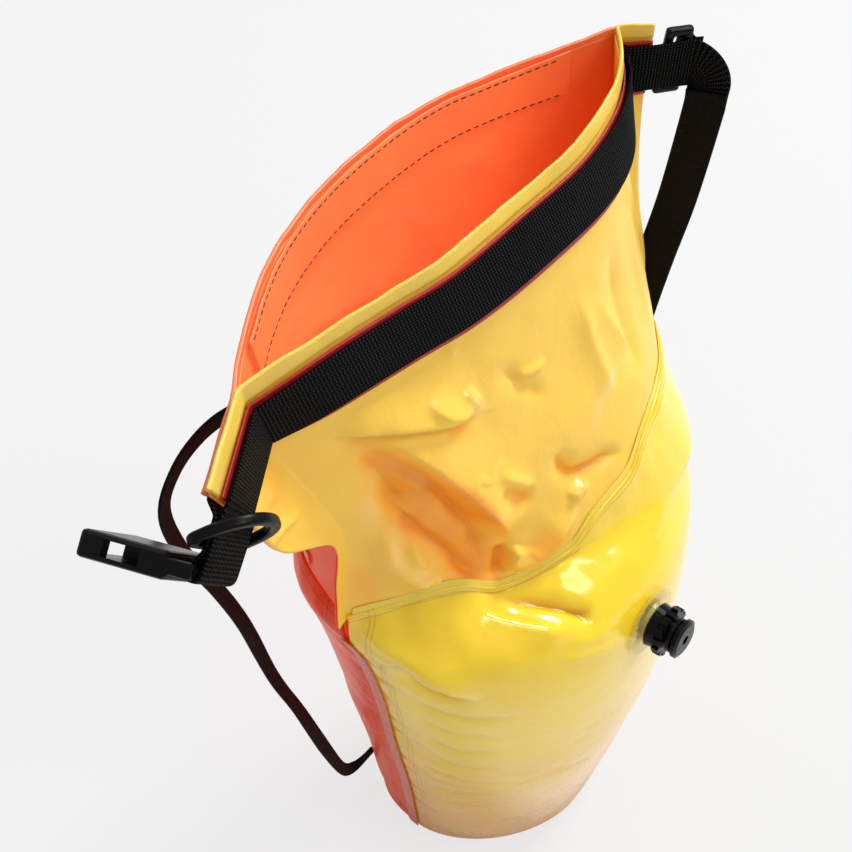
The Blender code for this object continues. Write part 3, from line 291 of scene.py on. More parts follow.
# Painted warm shade and glow in the folds of the front: strength, width above, width below, then
# the line
PANEL_PAINTED_SHADE = [
    (0.42, 16, 20, [(-101, 18, 415), (-88, 8, 392), (-74, -4, 362), (-63, -14, 338),
                    (-58, -22, 315)]),
    (0.70, 8, 4, [(-100, 16, 404), (-90, 9, 394), (-76, -1, 375), (-66, -7.5, 362),
                  (-60, -13, 350)]),
    (0.95, 10, 4, [(-99, 9, 373), (-91.5, 3, 366), (-79, -6, 349), (-71.5, -16, 325),
                   (-65, -23, 311)]),
    (0.40, 5, 7, [(-104, 20, 424), (-94, 14, 410), (-81, 6, 394)]),
    (0.55, 4, 6, [(-51.4, -19, 333), (-55, -20.5, 323), (-59, -23, 313)]),
    (0.40, 5, 11, [(-23, -33, 325), (-33, -31, 321), (-42, -29, 315)]),
    (0.62, 3, 6, [(-70.5, 1, 389), (-62.5, -7, 369), (-51.4, -17, 340.5)]),
    (0.45, 3, 6, [(-66, 6, 414), (-62, 4, 411), (-55, 0, 403)]),
    (0.36, 4, 7, [(-44, -14, 362), (-34, -20.5, 349)]),
    (0.34, 3, 6, [(-14.8, -21, 360), (-11, -26, 350), (1, -30, 345), (15, -32, 343)]),
    (0.30, 8, 8, [(-117, 19, 352), (-112, 11, 335), (-112, 8, 318)]),
    (0.30, 10, 10, [(-150, 22, 470), (-146, 24, 440), (-142, 24, 415)]),
]
# Where the front is glossier, along the crests of its sharpest folds: width, then the line
PANEL_SHINE = [
    (5, [(-106, 14, 386), (-100, 6, 358), (-91, -5, 333), (-80, -15, 322), (-70, -24, 312)]),
    (4, [(-57, 9, 428), (-52, 5, 420), (-48, 1, 411)]),
    (4, [(12, -23, 364), (22, -18, 374), (30, -16, 377)]),
    (3, [(-12, -31, 336), (-4, -32, 341), (4, -32, 342)]),
]
# How far the front film laps up over the panel: place along X, then the lap, both in millimetres
FILM_LAP = [(-130, 3), (-62, 3), (-22, 4), (-11, 13), (1, 17), (22, 21), (37, 32), (50, 38),
            (61, 41), (73, 43), (100, 40), (125, 30)]
SKIN_CREASES = [
    (-6.5, 5, 3, [(-64, -26, 308), (-51, -41.5, 302), (-40, -58.5, 296), (-36, -65, 290)]),
    (4.6, 2.5, 8, [(-77, -26, 311.5), (-69, -36, 303.5), (-60, -48.5, 298), (-44, -62, 291.5)]),
    (5.0, 10, 4, [(-121, 15, 312), (-114, -6.5, 301.5), (-106, -28.5, 287), (-95, -42, 268)]),
    (-5.0, 3, 6, [(-116, -8, 297), (-110, -18, 273), (-96, -41, 267.5)]),
    (-1.6, 3, 5, [(-109, -8.5, 254), (-99.5, -32, 245), (-80, -56, 252)]),
    (-1.4, 3, 5, [(-101.5, -10, 204), (-95, -29, 198), (-83, -50, 206)]),
    (-1.6, 3, 5, [(-96.5, -6, 152), (-92, -24, 152), (-60.5, -64, 159.5)]),
    (-1.2, 3, 5, [(-91, -6, 111), (-88, -25, 123.5), (-76, -48, 137)]),
    (1.3, 4, 4, [(-54, -61, 290), (-40, -68, 285), (-25, -71, 283)]),
    (1.2, 4, 4, [(-60, -62.5, 284.5), (-42.5, -70, 277), (-25, -75.5, 271)]),
    (-1.2, 4, 5, [(-60, -65, 165), (-23, -75, 135.5)]),
    (-1.2, 3, 5, [(-104, -9, 230), (-97, -30, 222), (-84, -50, 226)]),
    (-1.0, 3, 4, [(-99, -8, 178), (-93, -27, 174), (-78, -52, 181)]),
    (-1.0, 3, 4, [(-93, -6, 130), (-90, -22, 137), (-79, -45, 148)]),
    (-0.9, 3, 4, [(-87, -5, 90), (-84, -23, 100), (-72, -45, 112)]),
    (1.2, 6, 6, [(-20, -70, 40), (10, -74, 48), (40, -72, 70)]),
]
STRAP_ROUTE = [(0.1386, 0.0144, 0.4620), (0.1386, 0.0144, 0.4500), (0.1360, 0.0172, 0.4000),
               (0.1325, 0.0212, 0.3600), (0.1295, 0.0245, 0.3200), (0.1265, 0.0270, 0.2700),
               (0.1235, 0.0285, 0.2200), (0.1210, 0.0290, 0.1700)]
TAPE_ROUTE = [(-0.1205, 0.0562, 0.4336), (-0.1300, 0.0620, 0.4345), (-0.1450, 0.0640, 0.4325),
              (-0.1610, 0.0625, 0.4265), (-0.1715, 0.0605, 0.4120), (-0.1680, 0.0600, 0.3800),
              (-0.1570, 0.0600, 0.3400), (-0.1470, 0.0600, 0.2960), (-0.1365, 0.0600, 0.2300),
              (-0.1240, 0.0600, 0.1730), (-0.1080, 0.0610, 0.0950), (-0.0950, 0.0630, 0.0420),
              (-0.0840, 0.0650, 0.0215), (-0.0750, 0.0645, 0.0195), (-0.0650, 0.0628, 0.0240)]
# Share of the tape's length, and how far the tape is twisted about its line there, in degrees
TAPE_TWIST = [(0.0, 0), (0.04, 0), (0.10, -8), (0.20, -22), (0.30, -18), (0.42, -6), (0.58, -24),
              (0.67, -10), (0.77, 3), (0.84, -8), (0.91, -22), (0.955, -24), (0.985, 0), (1.0, 0)]
MOUTH_CREASES = [
    (-3.0, 14, 14, [(-95, 68, 430), (-60, 80, 420), (-20, 85, 405), (20, 84, 395)]),
    (2.0, 12, 12, [(-80, 72, 400), (-40, 83, 385), (10, 86, 370)]),
    (-2.2, 10, 10, [(30, 85, 455), (60, 78, 430), (85, 66, 400)]),
    (1.8, 9, 9, [(-110, 55, 440), (-100, 62, 400), (-90, 66, 360)]),
    (-1.5, 7, 7, [(0, 88, 440), (20, 86, 415), (30, 85, 380)]),
]
BACK_CREASES = [
    (-2.0, 6, 6, [(-90, 50, 280), (-70, 75, 275), (-40, 90, 280)]),
    (1.5, 6, 6, [(-85, 50, 240), (-60, 78, 235), (-30, 88, 240)]),
    (-1.5, 5, 7, [(90, 45, 250), (70, 70, 255), (40, 88, 250)]),
    (-1.2, 5, 5, [(-80, 50, 150), (-60, 70, 145), (-30, 82, 150)]),
    (1.2, 6, 6, [(80, 50, 120), (60, 68, 130), (20, 80, 125)]),
]
WALL_CREASES = [
    (2.0, 10, 10, [(-60, -20, 280), (0, -20, 240), (50, -5, 200)]),
    (-2.0, 10, 10, [(60, -15, 270), (10, -5, 200), (-40, 5, 120)]),
]


def length_property(name, description, default):
    """A length that a user may change, in metres."""
    return FloatProperty(name=name, description=description, default=default, unit="LENGTH")


def colour_property(name, description, *default):
    """A colour that a user may change, as linear values."""
    return FloatVectorProperty(name=name, description=description, default=default,
                               subtype="COLOR")


class BagSizes(bpy.types.PropertyGroup):
    """Sizes of the bag's fabric, webbing and stitches."""

    fabric: length_property("Fabric Thickness", "Thickness of the coated fabric", 0.0007)
    webbing_width: length_property("Webbing Width", "Width of the mouth webbing", 0.025)
    webbing_thickness: length_property(
        "Webbing Thickness", "Thickness of the mouth webbing", 0.0016)
    rib_pitch: length_property(
        "Rib Pitch", "Distance between two ribs of the webbing's weave", 0.0016)
    edging_width: length_property(
        "Edging Width", "Width of the red edging under the webbing", 0.029)
    strap_width: length_property("Strap Width", "Width of the hanging closure strap", 0.020)
    tape_width: length_property("Tape Width", "Width of the thin tether tape", 0.0084)
    stitch_length: length_property("Stitch Length", "Length of one stitch", 0.0032)
    stitch_space: length_property("Stitch Space", "Space between two stitches", 0.0010)
    panel_columns: IntProperty(
        name="Panel Columns", description="Columns of faces between the folds of a panel",
        default=200, min=22, max=400)


class BagColours(bpy.types.PropertyGroup):
    """Colours of the bag's surfaces, as linear values."""

    matte_yellow: colour_property("Matte Yellow", "Roll-top fabric of the front", 1.0, 0.66, 0.085)
    glossy_yellow: colour_property("Glossy Yellow", "Film of the front chamber", 0.97, 0.70, 0.030)
    # Pale yellow is a random mottle of the front fabric, and the painted shade at the front film's
    # lower end
    pale_yellow: colour_property(
        "Pale Yellow", "Lower end of the front chamber", 0.74, 0.36, 0.035)
    # Ochre and glow are painted warm shade, for the shallow and the deep folds of the front
    ochre: colour_property("Ochre", "Fabric in shallow folds", 0.86, 0.37, 0.040)
    glow: colour_property("Glow", "Light through the fabric in deep folds", 0.60, 0.18, 0.008)
    orange: colour_property(
        "Orange", "Fabric of the back, seen inside the mouth", 1.0, 0.25, 0.085)
    red_orange: colour_property("Red Orange", "Film of the back chamber", 0.88, 0.060, 0.010)
    salmon: colour_property("Salmon", "Welded strips over the side seams", 0.80, 0.20, 0.13)
    edging: colour_property("Edging Red", "Edging tape under the webbing", 0.46, 0.008, 0.016)
    black: colour_property("Black", "Webbing, straps and mouldings", 0.003, 0.003, 0.0032)


def settings():
    """The scene's sizes and colours of this bag."""
    scene = bpy.context.scene
    return scene.buoy_sizes, scene.buoy_colours


def unit(vector):
    """The vector at length one, as a numpy array."""
    vector = np.array(vector, float)
    return vector / np.linalg.norm(vector)


def units(vectors):
    """Each vector of an array at length one."""
    return vectors / np.maximum(np.linalg.norm(vectors, axis=-1, keepdims=True), 1e-12)


def curve_through(points, samples=12):
    """Dense points on a Catmull-Rom curve through the given points."""
    points = np.array(points, float)
    line = np.vstack([2 * points[0] - points[1], points, 2 * points[-1] - points[-2]])
    t = (np.arange(samples) / samples)[:, None]
    places = []
    for i in range(1, len(line) - 2):
        a, b, c, d = line[i - 1:i + 3]
        places.append(0.5 * (2 * b + (c - a) * t + (2 * a - 5 * b + 4 * c - d) * t ** 2
                             + (3 * b - a - 3 * c + d) * t ** 3))
    places.append(points[-1:])
    return np.vstack(places)


def lengths_along(line):
    """Distance from the first point of a line to each of its points."""
    steps = np.linalg.norm(np.diff(line, axis=0), axis=1)
    return np.concatenate([[0.0], np.cumsum(steps)])


def at_distance(line, distance):
    """The point or points of a line at a distance or distances from its start."""
    along = lengths_along(line)
    return np.stack([np.interp(distance, along, line[:, axis]) for axis in range(3)], axis=-1)


def evenly(line, count):
    """Points spaced evenly along a line, its ends included."""
    return at_distance(line, np.linspace(0.0, lengths_along(line)[-1], count))


def seam_normal(tip, fold, side):
    """Level direction square to a flat mouth end, towards the front."""
    reach = np.array(tip) - np.array(fold)
    return unit((side * reach[1], -side * reach[0], 0.0))


def panel_columns(rows, facing, main, ear=EAR_COLUMNS):
    """Columns of an upper panel from the left tip to the right one, each from rim to weld."""
    grid = []
    for i, row in enumerate(rows):
        left = facing * PANEL_HALF_GAP * seam_normal(LEFT_TIP[i], LEFT_FOLD[i], -1)
        right = facing * PANEL_HALF_GAP * seam_normal(RIGHT_TIP[i], RIGHT_FOLD[i], 1)
        left_tip = np.array(LEFT_TIP[i]) + left
        left_fold = np.array(LEFT_FOLD[i]) + left
        right_fold = np.array(RIGHT_FOLD[i]) + right
        right_tip = np.array(RIGHT_TIP[i]) + right
        middle = evenly(curve_through([left_fold, *row, right_fold]), main + 1)
        left_ear = np.linspace(left_tip, left_fold, ear + 1)[:-1]
        right_ear = np.linspace(right_fold, right_tip, max(1, ear // 2) + 1)[1:]
        grid.append(np.vstack([left_ear, middle, right_ear]))
    grid = np.array(grid)
    return [curve_through(grid[:, j]) for j in range(grid.shape[1])]


def oval_half(level, depth, squareness, seam_gap, inset, facing, steps):
    """Half an oval from the left seam to the right one; facing 1 is the front half."""
    z, left, right, seam_y = level[:4]
    left += inset
    right -= inset
    angle = np.linspace(0.0, math.pi, 8 * steps + 1)
    square = np.where(angle < math.pi / 2, squareness[0], squareness[1])
    across = -np.sign(np.cos(angle)) * np.abs(np.cos(angle)) ** (2 / square)
    out = np.abs(np.sin(angle)) ** (2 / square)
    x = (left + right) / 2 + (right - left) / 2 * across
    y = seam_y - facing * (seam_gap + (depth - seam_gap) * out)
    return evenly(np.stack([x, y, np.full_like(x, z)], axis=1), steps + 1)


def weld_row(columns, main, facing, inner):
    """The bottom of an upper panel between its folds, set off to one side of the panel."""
    row = np.array([column[-1] for column in columns[EAR_COLUMNS:EAR_COLUMNS + main + 1]])
    moved = []
    blend = 3 * main / SOLID_COLUMNS
    reach = max(1, main // SOLID_COLUMNS)
    for j, place in enumerate(row):
        along = row[min(j + reach, main)] - row[max(j - reach, 0)]
        out = facing * unit((along[1], -along[0], 0.0))
        share = min(1.0, min(j, main - j) / blend)
        if inner:
            at_end = np.array((WALL_INSET if j < main / 2 else -WALL_INSET, 0.0, 0.0))
            step = at_end * (1 - share) - out * WELD_GAP * share
        else:
            at_end = np.array((0.0, -facing * WELD_GAP, 0.0))
            step = at_end * (1 - share) + out * WELD_GAP * share
        moved.append(place + step - np.array((0.0, 0.0, WELD_GAP)))
    return np.array(moved)


def film_lap(x):
    """How far the front film laps up over the panel at a place along X, in metres."""
    places = np.array(FILM_LAP) / 1000
    return np.interp(x, places[:, 0], places[:, 1])


def film_rows(columns, main):
    """The front film's edge on the panel, its bulging line over the panel's bottom, and its lap."""
    inner = columns[EAR_COLUMNS:EAR_COLUMNS + main + 1]
    lap = np.array([film_lap(column[-1][0]) for column in inner])
    kernel = np.hanning(13)[1:-1]
    lap = np.convolve(np.pad(lap, 5, mode="edge"), kernel / kernel.sum(), mode="valid")
    edge = np.array([at_distance(column, lengths_along(column)[-1] - reach)
                     for column, reach in zip(inner, lap)])
    along = np.gradient(edge, axis=0)
    down = np.array([column[-1] for column in inner]) - edge
    out = units(np.cross(down, along))
    foot = weld_row(columns, main, 1, False)
    bulge = 0.16 * (lap - LEAST_LAP)
    level = out * np.array((1.0, 1.0, 0.0))
    return edge + out * WELD_GAP, foot + level * bulge[:, None], lap


def noise_of(points, cell, seed):
    """Smooth noise between -1 and 1 at each point, with features about a cell wide."""
    table = np.random.RandomState(seed).uniform(-1.0, 1.0, (16, 16, 16))
    spot = np.asarray(points) / cell
    base = np.floor(spot).astype(int)
    part = spot - base
    part = part * part * (3 - 2 * part)
    total = 0.0
    for corner in np.ndindex(2, 2, 2):
        weight = np.prod(np.where(corner, part, 1 - part), axis=-1)
        cell_at = (base + corner) % len(table)
        total = total + weight * table[cell_at[..., 0], cell_at[..., 1], cell_at[..., 2]]
    return total


def grid_normals(grid):
    """Normals of a grid of points, by its neighbours."""
    down = np.gradient(grid, axis=0)
    across = np.gradient(grid, axis=1)
    return units(np.cross(down, across))


def line_fields(grid, normals, line):
    """Distance of each grid point from a line, how far along it is, and on which side it lies."""
    best = np.full(grid.shape[:2], 1e9)
    along = np.zeros(grid.shape[:2])
    side = np.ones(grid.shape[:2])
    line = curve_through(np.array(line) / 1000, 5)
    for i in range(len(line) - 1):
        a, b = line[i], line[i + 1]
        run = b - a
        t = np.clip(((grid - a) @ run) / (run @ run), 0.0, 1.0)
        offset = grid - (a + t[..., None] * run)
        distance = np.linalg.norm(offset, axis=2)
        closer = distance < best
        beside = np.cross(normals, np.broadcast_to(run, grid.shape))
        turned = np.einsum("ijk,ijk->ij", beside, offset)
        best = np.where(closer, distance, best)
        along = np.where(closer, (i + t) / (len(line) - 1), along)
        side = np.where(closer, np.sign(turned), side)
    return best, along, side


def creased(grid, facing, creases, fade):
    """A grid's outward normals, and how far its creases lift each point along them."""
    normals = grid_normals(grid)
    middle = normals[normals.shape[0] // 2, normals.shape[1] // 2]
    if middle[1] * facing > 0:
        normals = -normals
    lift = np.zeros(grid.shape[:2])
    for height, upper, lower, line in creases:
        distance, along, side = line_fields(grid, normals, line)
        width = np.where(side > 0, upper, lower) / 1000
        sharp = np.sqrt(distance ** 2 + 0.0006 ** 2) / width
        profile = 0.35 * np.exp(-(distance / width) ** 2) + 0.75 * np.exp(-1.45 * sharp)
        lift += height / 1000 * tapered(along) * profile
    return normals, lift * fade


def smooth_step(value, low, high):
    """0 below low, 1 above high and smooth between them."""
    t = np.clip((value - low) / (high - low), 0.0, 1.0)
    return t * t * (3 - 2 * t)


def tapered(along):
    """Nearly 0 at both ends of a line and 1 over most of it."""
    return 0.06 + 0.94 * smooth_step(np.minimum(along, 1.0 - along), 0.0, 0.30)


def make_mesh(name, verts, faces, uvs=None, values=None):
    """A mesh object from arrays, with a UV map in metres and any point values."""
    mesh = bpy.data.meshes.new(name)
    mesh.from_pydata([tuple(v) for v in verts], [], faces)
    if uvs is not None:
        layer = mesh.uv_layers.new(name="Cloth")
        index = np.empty(len(mesh.loops), int)
        mesh.loops.foreach_get("vertex_index", index)
        layer.data.foreach_set("uv", np.asarray(uvs, float)[index].ravel())
    for key, numbers in (values or {}).items():
        field = mesh.attributes.new(key, "FLOAT", "POINT")
        field.data.foreach_set("value", np.asarray(numbers, float).ravel())
    mesh.shade_smooth()
    made = bpy.data.objects.new(name, mesh)
    bpy.context.scene.collection.objects.link(made)
    return made


@contextlib.contextmanager
def mesh_of(made):
    """An object's mesh as a BMesh, written back afterwards."""
    work = bmesh.new()
    work.from_mesh(made.data)
    yield work
    work.to_mesh(made.data)
    work.free()


def face_outwards(made):
    """Turn the faces of a closed mesh outwards."""
    with mesh_of(made) as work:
        bmesh.ops.recalc_face_normals(work, faces=work.faces)


def sheet_object(name, grid, surface, facing, values=None):
    """An open grid as fabric with two faces, its UV map in metres along the cloth."""
    rows, columns = grid.shape[:2]
    index = np.arange(rows * columns).reshape(rows, columns)
    a, b, c, d = index[:-1, :-1], index[1:, :-1], index[1:, 1:], index[:-1, 1:]
    quads = np.stack([a, b, c, d], axis=-1).reshape(-1, 4)
    u = np.zeros((rows, columns))
    v = np.zeros((rows, columns))
    u[:, 1:] = np.cumsum(np.linalg.norm(np.diff(grid, axis=1), axis=2), axis=1)
    v[1:] = np.cumsum(np.linalg.norm(np.diff(grid, axis=0), axis=2), axis=0)
    u[:] = u[rows // 3]
    i, j = rows // 2, columns // 2
    normal = np.cross(grid[i + 1, j] - grid[i, j], grid[i, j + 1] - grid[i, j])
    if normal[1] * facing > 0:
        quads = quads[:, ::-1]
    uvs = np.stack([u, v], axis=2).reshape(-1, 2)
    made = make_mesh(name, grid.reshape(-1, 3), quads.tolist(), uvs, values)
    made.data.materials.append(surface)
    wall = made.modifiers.new("thickness", "SOLIDIFY")
    wall.thickness = settings()[0].fabric
    wall.offset = 0.0
    return made


def finish_piece(made, *nodes, body=BODY, slot=None):
    """Apply the modifiers, let the piece ride and hide the solids that it stands for."""
    bpy.ops.object.select_all(action="DESELECT")
    made.select_set(True)
    bpy.context.view_layer.objects.active = made
    for step in list(made.modifiers):
        bpy.ops.object.modifier_apply(modifier=step.name)
    made.select_set(False)
    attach(made, body)
    if nodes:
        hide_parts(*nodes)
    return made


class Socket:
    """An output of a material's node, with arithmetic on it."""

    def __init__(self, nodes, output):
        self.nodes = nodes
        self.output = output

    def maths(self, operation, *values, clamp=False):
        """A Math node on this value and any others."""
        return self.nodes.add("Math", {"operation": operation, "use_clamp": clamp},
                              dict(enumerate((self, *values))))

    def __add__(self, other):
        return self.maths("ADD", other)

    __radd__ = __add__

    def __sub__(self, other):
        return self.maths("SUBTRACT", other)

    def __rsub__(self, other):
        return self.nodes.add("Math", {"operation": "SUBTRACT"}, {0: other, 1: self})

    def __mul__(self, other):
        return self.maths("MULTIPLY", other)

    __rmul__ = __mul__

    def __truediv__(self, other):
        return self.maths("DIVIDE", other)

    def __rtruediv__(self, other):
        return self.nodes.add("Math", {"operation": "DIVIDE"}, {0: other, 1: self})

    def clamped(self):
        """The value held between 0 and 1."""
        return self.maths("ADD", 0.0, clamp=True)


class Nodes:
    """A material's node tree and short ways to fill it."""

    def __init__(self, name, roughness=0.5, constants=None):
        self.material = bpy.data.materials.new(name)
        self.material.use_nodes = True
        self.tree = self.material.node_tree
        self.shader = self.tree.nodes["Principled BSDF"]
        self.put(self.shader.inputs["Roughness"], roughness)
        for key, value in (constants or {}).items():
            self.put(self.shader.inputs[key], value)

    def put(self, socket, value):
        """Link a socket's value to an input, or set it there."""
        if isinstance(value, Socket):
            self.tree.links.new(value.output, socket)
        else:
            socket.default_value = value

    def add(self, kind, settings_of=None, inputs=None, output=0):
        """Any shader node: its settings first, then its inputs."""
        made = self.tree.nodes.new("ShaderNode" + kind)
        for key, value in (settings_of or {}).items():
            setattr(made, key, value)
        for key, value in (inputs or {}).items():
            self.put(made.inputs[key], value)
        return Socket(self, made.outputs[output])

    def place(self):
        """Where a point of the piece is, in metres."""
        return self.add("TexCoord", output="Object")

    def cloth(self):
        """The piece's UV map, in metres along the cloth."""
        return self.add("UVMap", {"uv_map": "Cloth"})

    def split(self, vector):
        """The three parts of a vector."""
        made = self.add("SeparateXYZ", inputs={0: vector})
        node = made.output.node
        return [Socket(self, node.outputs[axis]) for axis in range(3)]

    def value(self, name):
        """A number stored on the piece's points."""
        return self.add("Attribute", {"attribute_name": name}, output="Fac")

    def noise(self, scale, detail=3.0, at=None, distortion=0.0):
        """Noise from 0 to 1 at a scale per metre."""
        return self.add("TexNoise", None, {"Vector": at or self.place(), "Scale": scale,
                                           "Detail": detail, "Distortion": distortion})

    def mix(self, share, first, second):
        """A colour between two, by share."""
        first = first if isinstance(first, Socket) else (*first[:3], 1.0)
        second = second if isinstance(second, Socket) else (*second[:3], 1.0)
        return self.add("Mix", {"data_type": "RGBA"}, {0: share, 6: first, 7: second}, output=2)

    def stretched(self, by, vector=None):
        """Coordinates multiplied axis by axis."""
        return self.add("VectorMath", {"operation": "MULTIPLY"}, {0: vector or self.place(), 1: by})

    def ramp(self, value, low, high):
        """0 below low and 1 above high, smoothly."""
        return self.add("MapRange", {"interpolation_type": "SMOOTHSTEP"},
                        {0: value, 1: low, 2: high})

    def line(self, distance, at, half):
        """1 where a distance is at a value, falling to 0 half a width from it."""
        gap = (distance - at).maths("ABSOLUTE")
        return self.ramp(gap, half, 0.0)

    def finish(self, colour=None, roughness=None, height=None, depth=0.0002, strength=1.0):
        """Link what varies to the shader and return the material."""
        if colour is not None:
            self.put(self.shader.inputs["Base Color"], colour)
        if roughness is not None:
            self.put(self.shader.inputs["Roughness"], roughness)
        if height is not None:
            bump = self.add("Bump", None, {"Height": height, "Distance": depth,
                                           "Strength": strength})
            self.put(self.shader.inputs["Normal"], bump)
        return self.material


def roll_top_cloth(name):
    """Coated yellow fabric of the roll-top: satin, finely grained, with painted warm shade in its
    folds and a painted warm glow, strongest there.
    """
    colours = settings()[1]
    m = Nodes(name, constants={"Specular IOR Level": 0.42, "Coat Roughness": 0.16,
                               "Emission Strength": 0.30})
    shine = m.value("shine")
    m.put(m.shader.inputs["Coat Weight"], 0.12 + 0.80 * shine)
    broad = m.noise(14.0, 3.0)
    grain = m.noise(1500.0, 2.0)
    crinkle = m.noise(130.0, 4.0, m.stretched((1.0, 1.0, 0.55)), 0.6)
    painted_warm_shade = m.value("painted_warm_shade")
    # Painted shade: the folds and the painted warm shade darken the yellow through ochre to deep
    # orange
    glow = painted_warm_shade + m.value("fold") * 0.28
    tint = m.mix(m.ramp(broad, 0.35, 0.70) * 0.12, colours.matte_yellow, colours.pale_yellow)
    tint = m.mix((glow * 1.8).clamped(), tint, colours.ochre)
    tint = m.mix((glow * 2.0 - 1.0).clamped(), tint, colours.glow)
    # Painted glow: a weak warm emission everywhere, stronger where the warm shade is painted
    through = m.mix(painted_warm_shade.clamped(), (0.24, 0.085, 0.0), (0.95, 0.31, 0.01))
    m.put(m.shader.inputs["Emission Color"], through)
    rough = 0.38 + 0.10 * crinkle + 0.06 * grain - 0.16 * shine
    return m.finish(tint, rough, crinkle * 0.8 + grain * 0.12, 0.0007, 0.55)


def chamber_film(name, top, low, deep, gloss=0.16, coat=0.42):
    """Shiny film of an air chamber, with weld lines near its seams and a few frosted rub marks,
    shaded from its top colour to its low one downwards as painted light, with painted shade in its
    folds and a faint painted glow.
    """
    m = Nodes(name, constants={"Specular IOR Level": coat, "Coat Weight": coat,
                               "Coat Roughness": 0.07, "Emission Strength": 0.10})
    height = m.split(m.place())[2]
    broad = m.noise(11.0, 2.0)
    ripple = m.noise(46.0, 3.0, m.stretched((1.0, 1.0, 2.2)), 0.8)
    fine = m.noise(420.0, 3.0)
    rub = m.noise(60.0, 2.0, m.stretched((0.6, 0.6, 1.8)), 2.5)
    fold = m.value("fold")
    side = m.value("side")
    over = m.value("over")
    welds = (m.line(side, 0.0105, 0.0008) + m.line(side, 0.0130, 0.0008)
             + m.line(over, 0.0022, 0.0007) + m.line(over, 0.0046, 0.0007)).clamped()
    flat_edge = m.ramp(side, 0.0125, 0.0105)
    # Painted light and shade: the top colour high up, shading into the low colour downwards
    tint = m.mix(m.ramp(height, 0.25, 0.02), top, low)
    tint = m.mix(m.ramp(broad, 0.45, 0.75) * 0.15, tint, low)
    # Painted shade in the folds
    tint = m.mix((fold * 0.85).clamped(), tint, deep)
    tint = m.mix(welds * 0.45 + flat_edge * 0.10, tint, deep)
    # Painted glow: a faint emission of the film's colour, warmed towards the deep one
    m.put(m.shader.inputs["Emission Color"], m.mix(0.4, tint, deep))
    frost = m.ramp(rub, 0.62, 0.68) * 0.16
    rough = gloss + 0.05 * broad + frost + 0.03 * fine
    relief = ripple * 1.0 + fine * 0.03 - welds * 0.35
    return m.finish(tint, rough, relief, 0.0010, 0.50)


def mouth_cloth(name):
    """Coated orange fabric seen inside the mouth, with painted shade in its folds, towards its
    right end and at its upper left, and a painted glow.
    """
    colours = settings()[1]
    m = Nodes(name, constants={"Specular IOR Level": 0.40, "Coat Weight": 0.10,
                               "Coat Roughness": 0.35, "Emission Strength": 0.32})
    broad = m.noise(9.0, 2.0)
    crinkle = m.noise(60.0, 3.0, m.stretched((1.0, 1.0, 0.6)), 0.8)
    grain = m.noise(1500.0, 2.0)
    fold = m.value("fold")
    tint = m.mix(m.ramp(broad, 0.3, 0.8) * 0.20, colours.orange, colours.red_orange)
    # Painted shade in the folds
    tint = m.mix((fold * 0.7).clamped(), tint, colours.red_orange)
    across, _, height = m.split(m.place())
    right = m.ramp(across, 0.045, 0.115)
    left = m.ramp(across, -0.085, -0.105) * m.ramp(height, 0.42, 0.37)
    # Painted shade: darker red towards the right end and at the upper left
    tint = m.mix(right * 0.45, tint, (0.60, 0.06, 0.006))
    tint = m.mix(left * 0.9, tint, colours.red_orange)
    # Painted glow: the emission stands in for light through the fabric, dimmed where shade is
    # painted and deeper red at the left
    shade = (right + left + m.ramp(height, 0.40, 0.33) * 0.6).clamped()
    glow = m.mix(shade, tint, (0.06, 0.004, 0.0))
    m.put(m.shader.inputs["Emission Color"], m.mix(left, glow, (0.42, 0.03, 0.0)))
    return m.finish(tint, 0.40 + 0.08 * crinkle, crinkle + grain * 0.1, 0.0009, 0.5)


def strip_cloth(name, colour, roughness=0.4, grain_height=0.10):
    """Coated tape or hem with a fine grain and small crinkles."""
    m = Nodes(name, constants={"Specular IOR Level": 0.45, "Coat Weight": 0.15,
                               "Coat Roughness": 0.25})
    broad = m.noise(30.0, 3.0)
    crinkle = m.noise(220.0, 3.0)
    grain = m.noise(1600.0, 2.0)
    darker = tuple(part * 0.72 for part in colour)
    tint = m.mix(m.ramp(broad, 0.3, 0.75) * 0.5, colour, darker)
    relief = crinkle * 0.6 + grain * grain_height
    return m.finish(tint, roughness + 0.12 * crinkle, relief, 0.0006, 0.5)


def ribbed_webbing(name):
    """Black polyester webbing: cords along it, crossed by ribs that show as rows of beads, with
    painted highlights on the bead tops.
    """
    sizes, colours = settings()
    m = Nodes(name, constants={"Specular IOR Level": 0.05})
    across, along, _ = m.split(m.cloth())
    cord_pitch = sizes.webbing_width / 18
    turns = across / cord_pitch
    odd = (turns / 2.0).maths("FRACT").maths("GREATER_THAN", 0.5)
    cord = (turns * math.pi).maths("SINE").maths("ABSOLUTE")
    beat = (along / sizes.rib_pitch + odd * 0.14) * math.pi
    bead = beat.maths("SINE").maths("ABSOLUTE")
    fuzz = m.noise(2600.0, 2.0)
    height = bead * (0.50 + 0.50 * cord)
    top = m.ramp(height, 0.74, 0.99)
    bead_highlight_noise = m.noise(40.0, 3.0)
    # Painted highlight: the bead tops are lightened, more in some patches than in others
    tint = m.mix(top * (0.25 + 0.75 * bead_highlight_noise), colours.black, (0.060, 0.064, 0.064))
    return m.finish(tint, 0.60 - 0.18 * top + 0.1 * fuzz, height + fuzz * 0.12, 0.0008, 0.9)


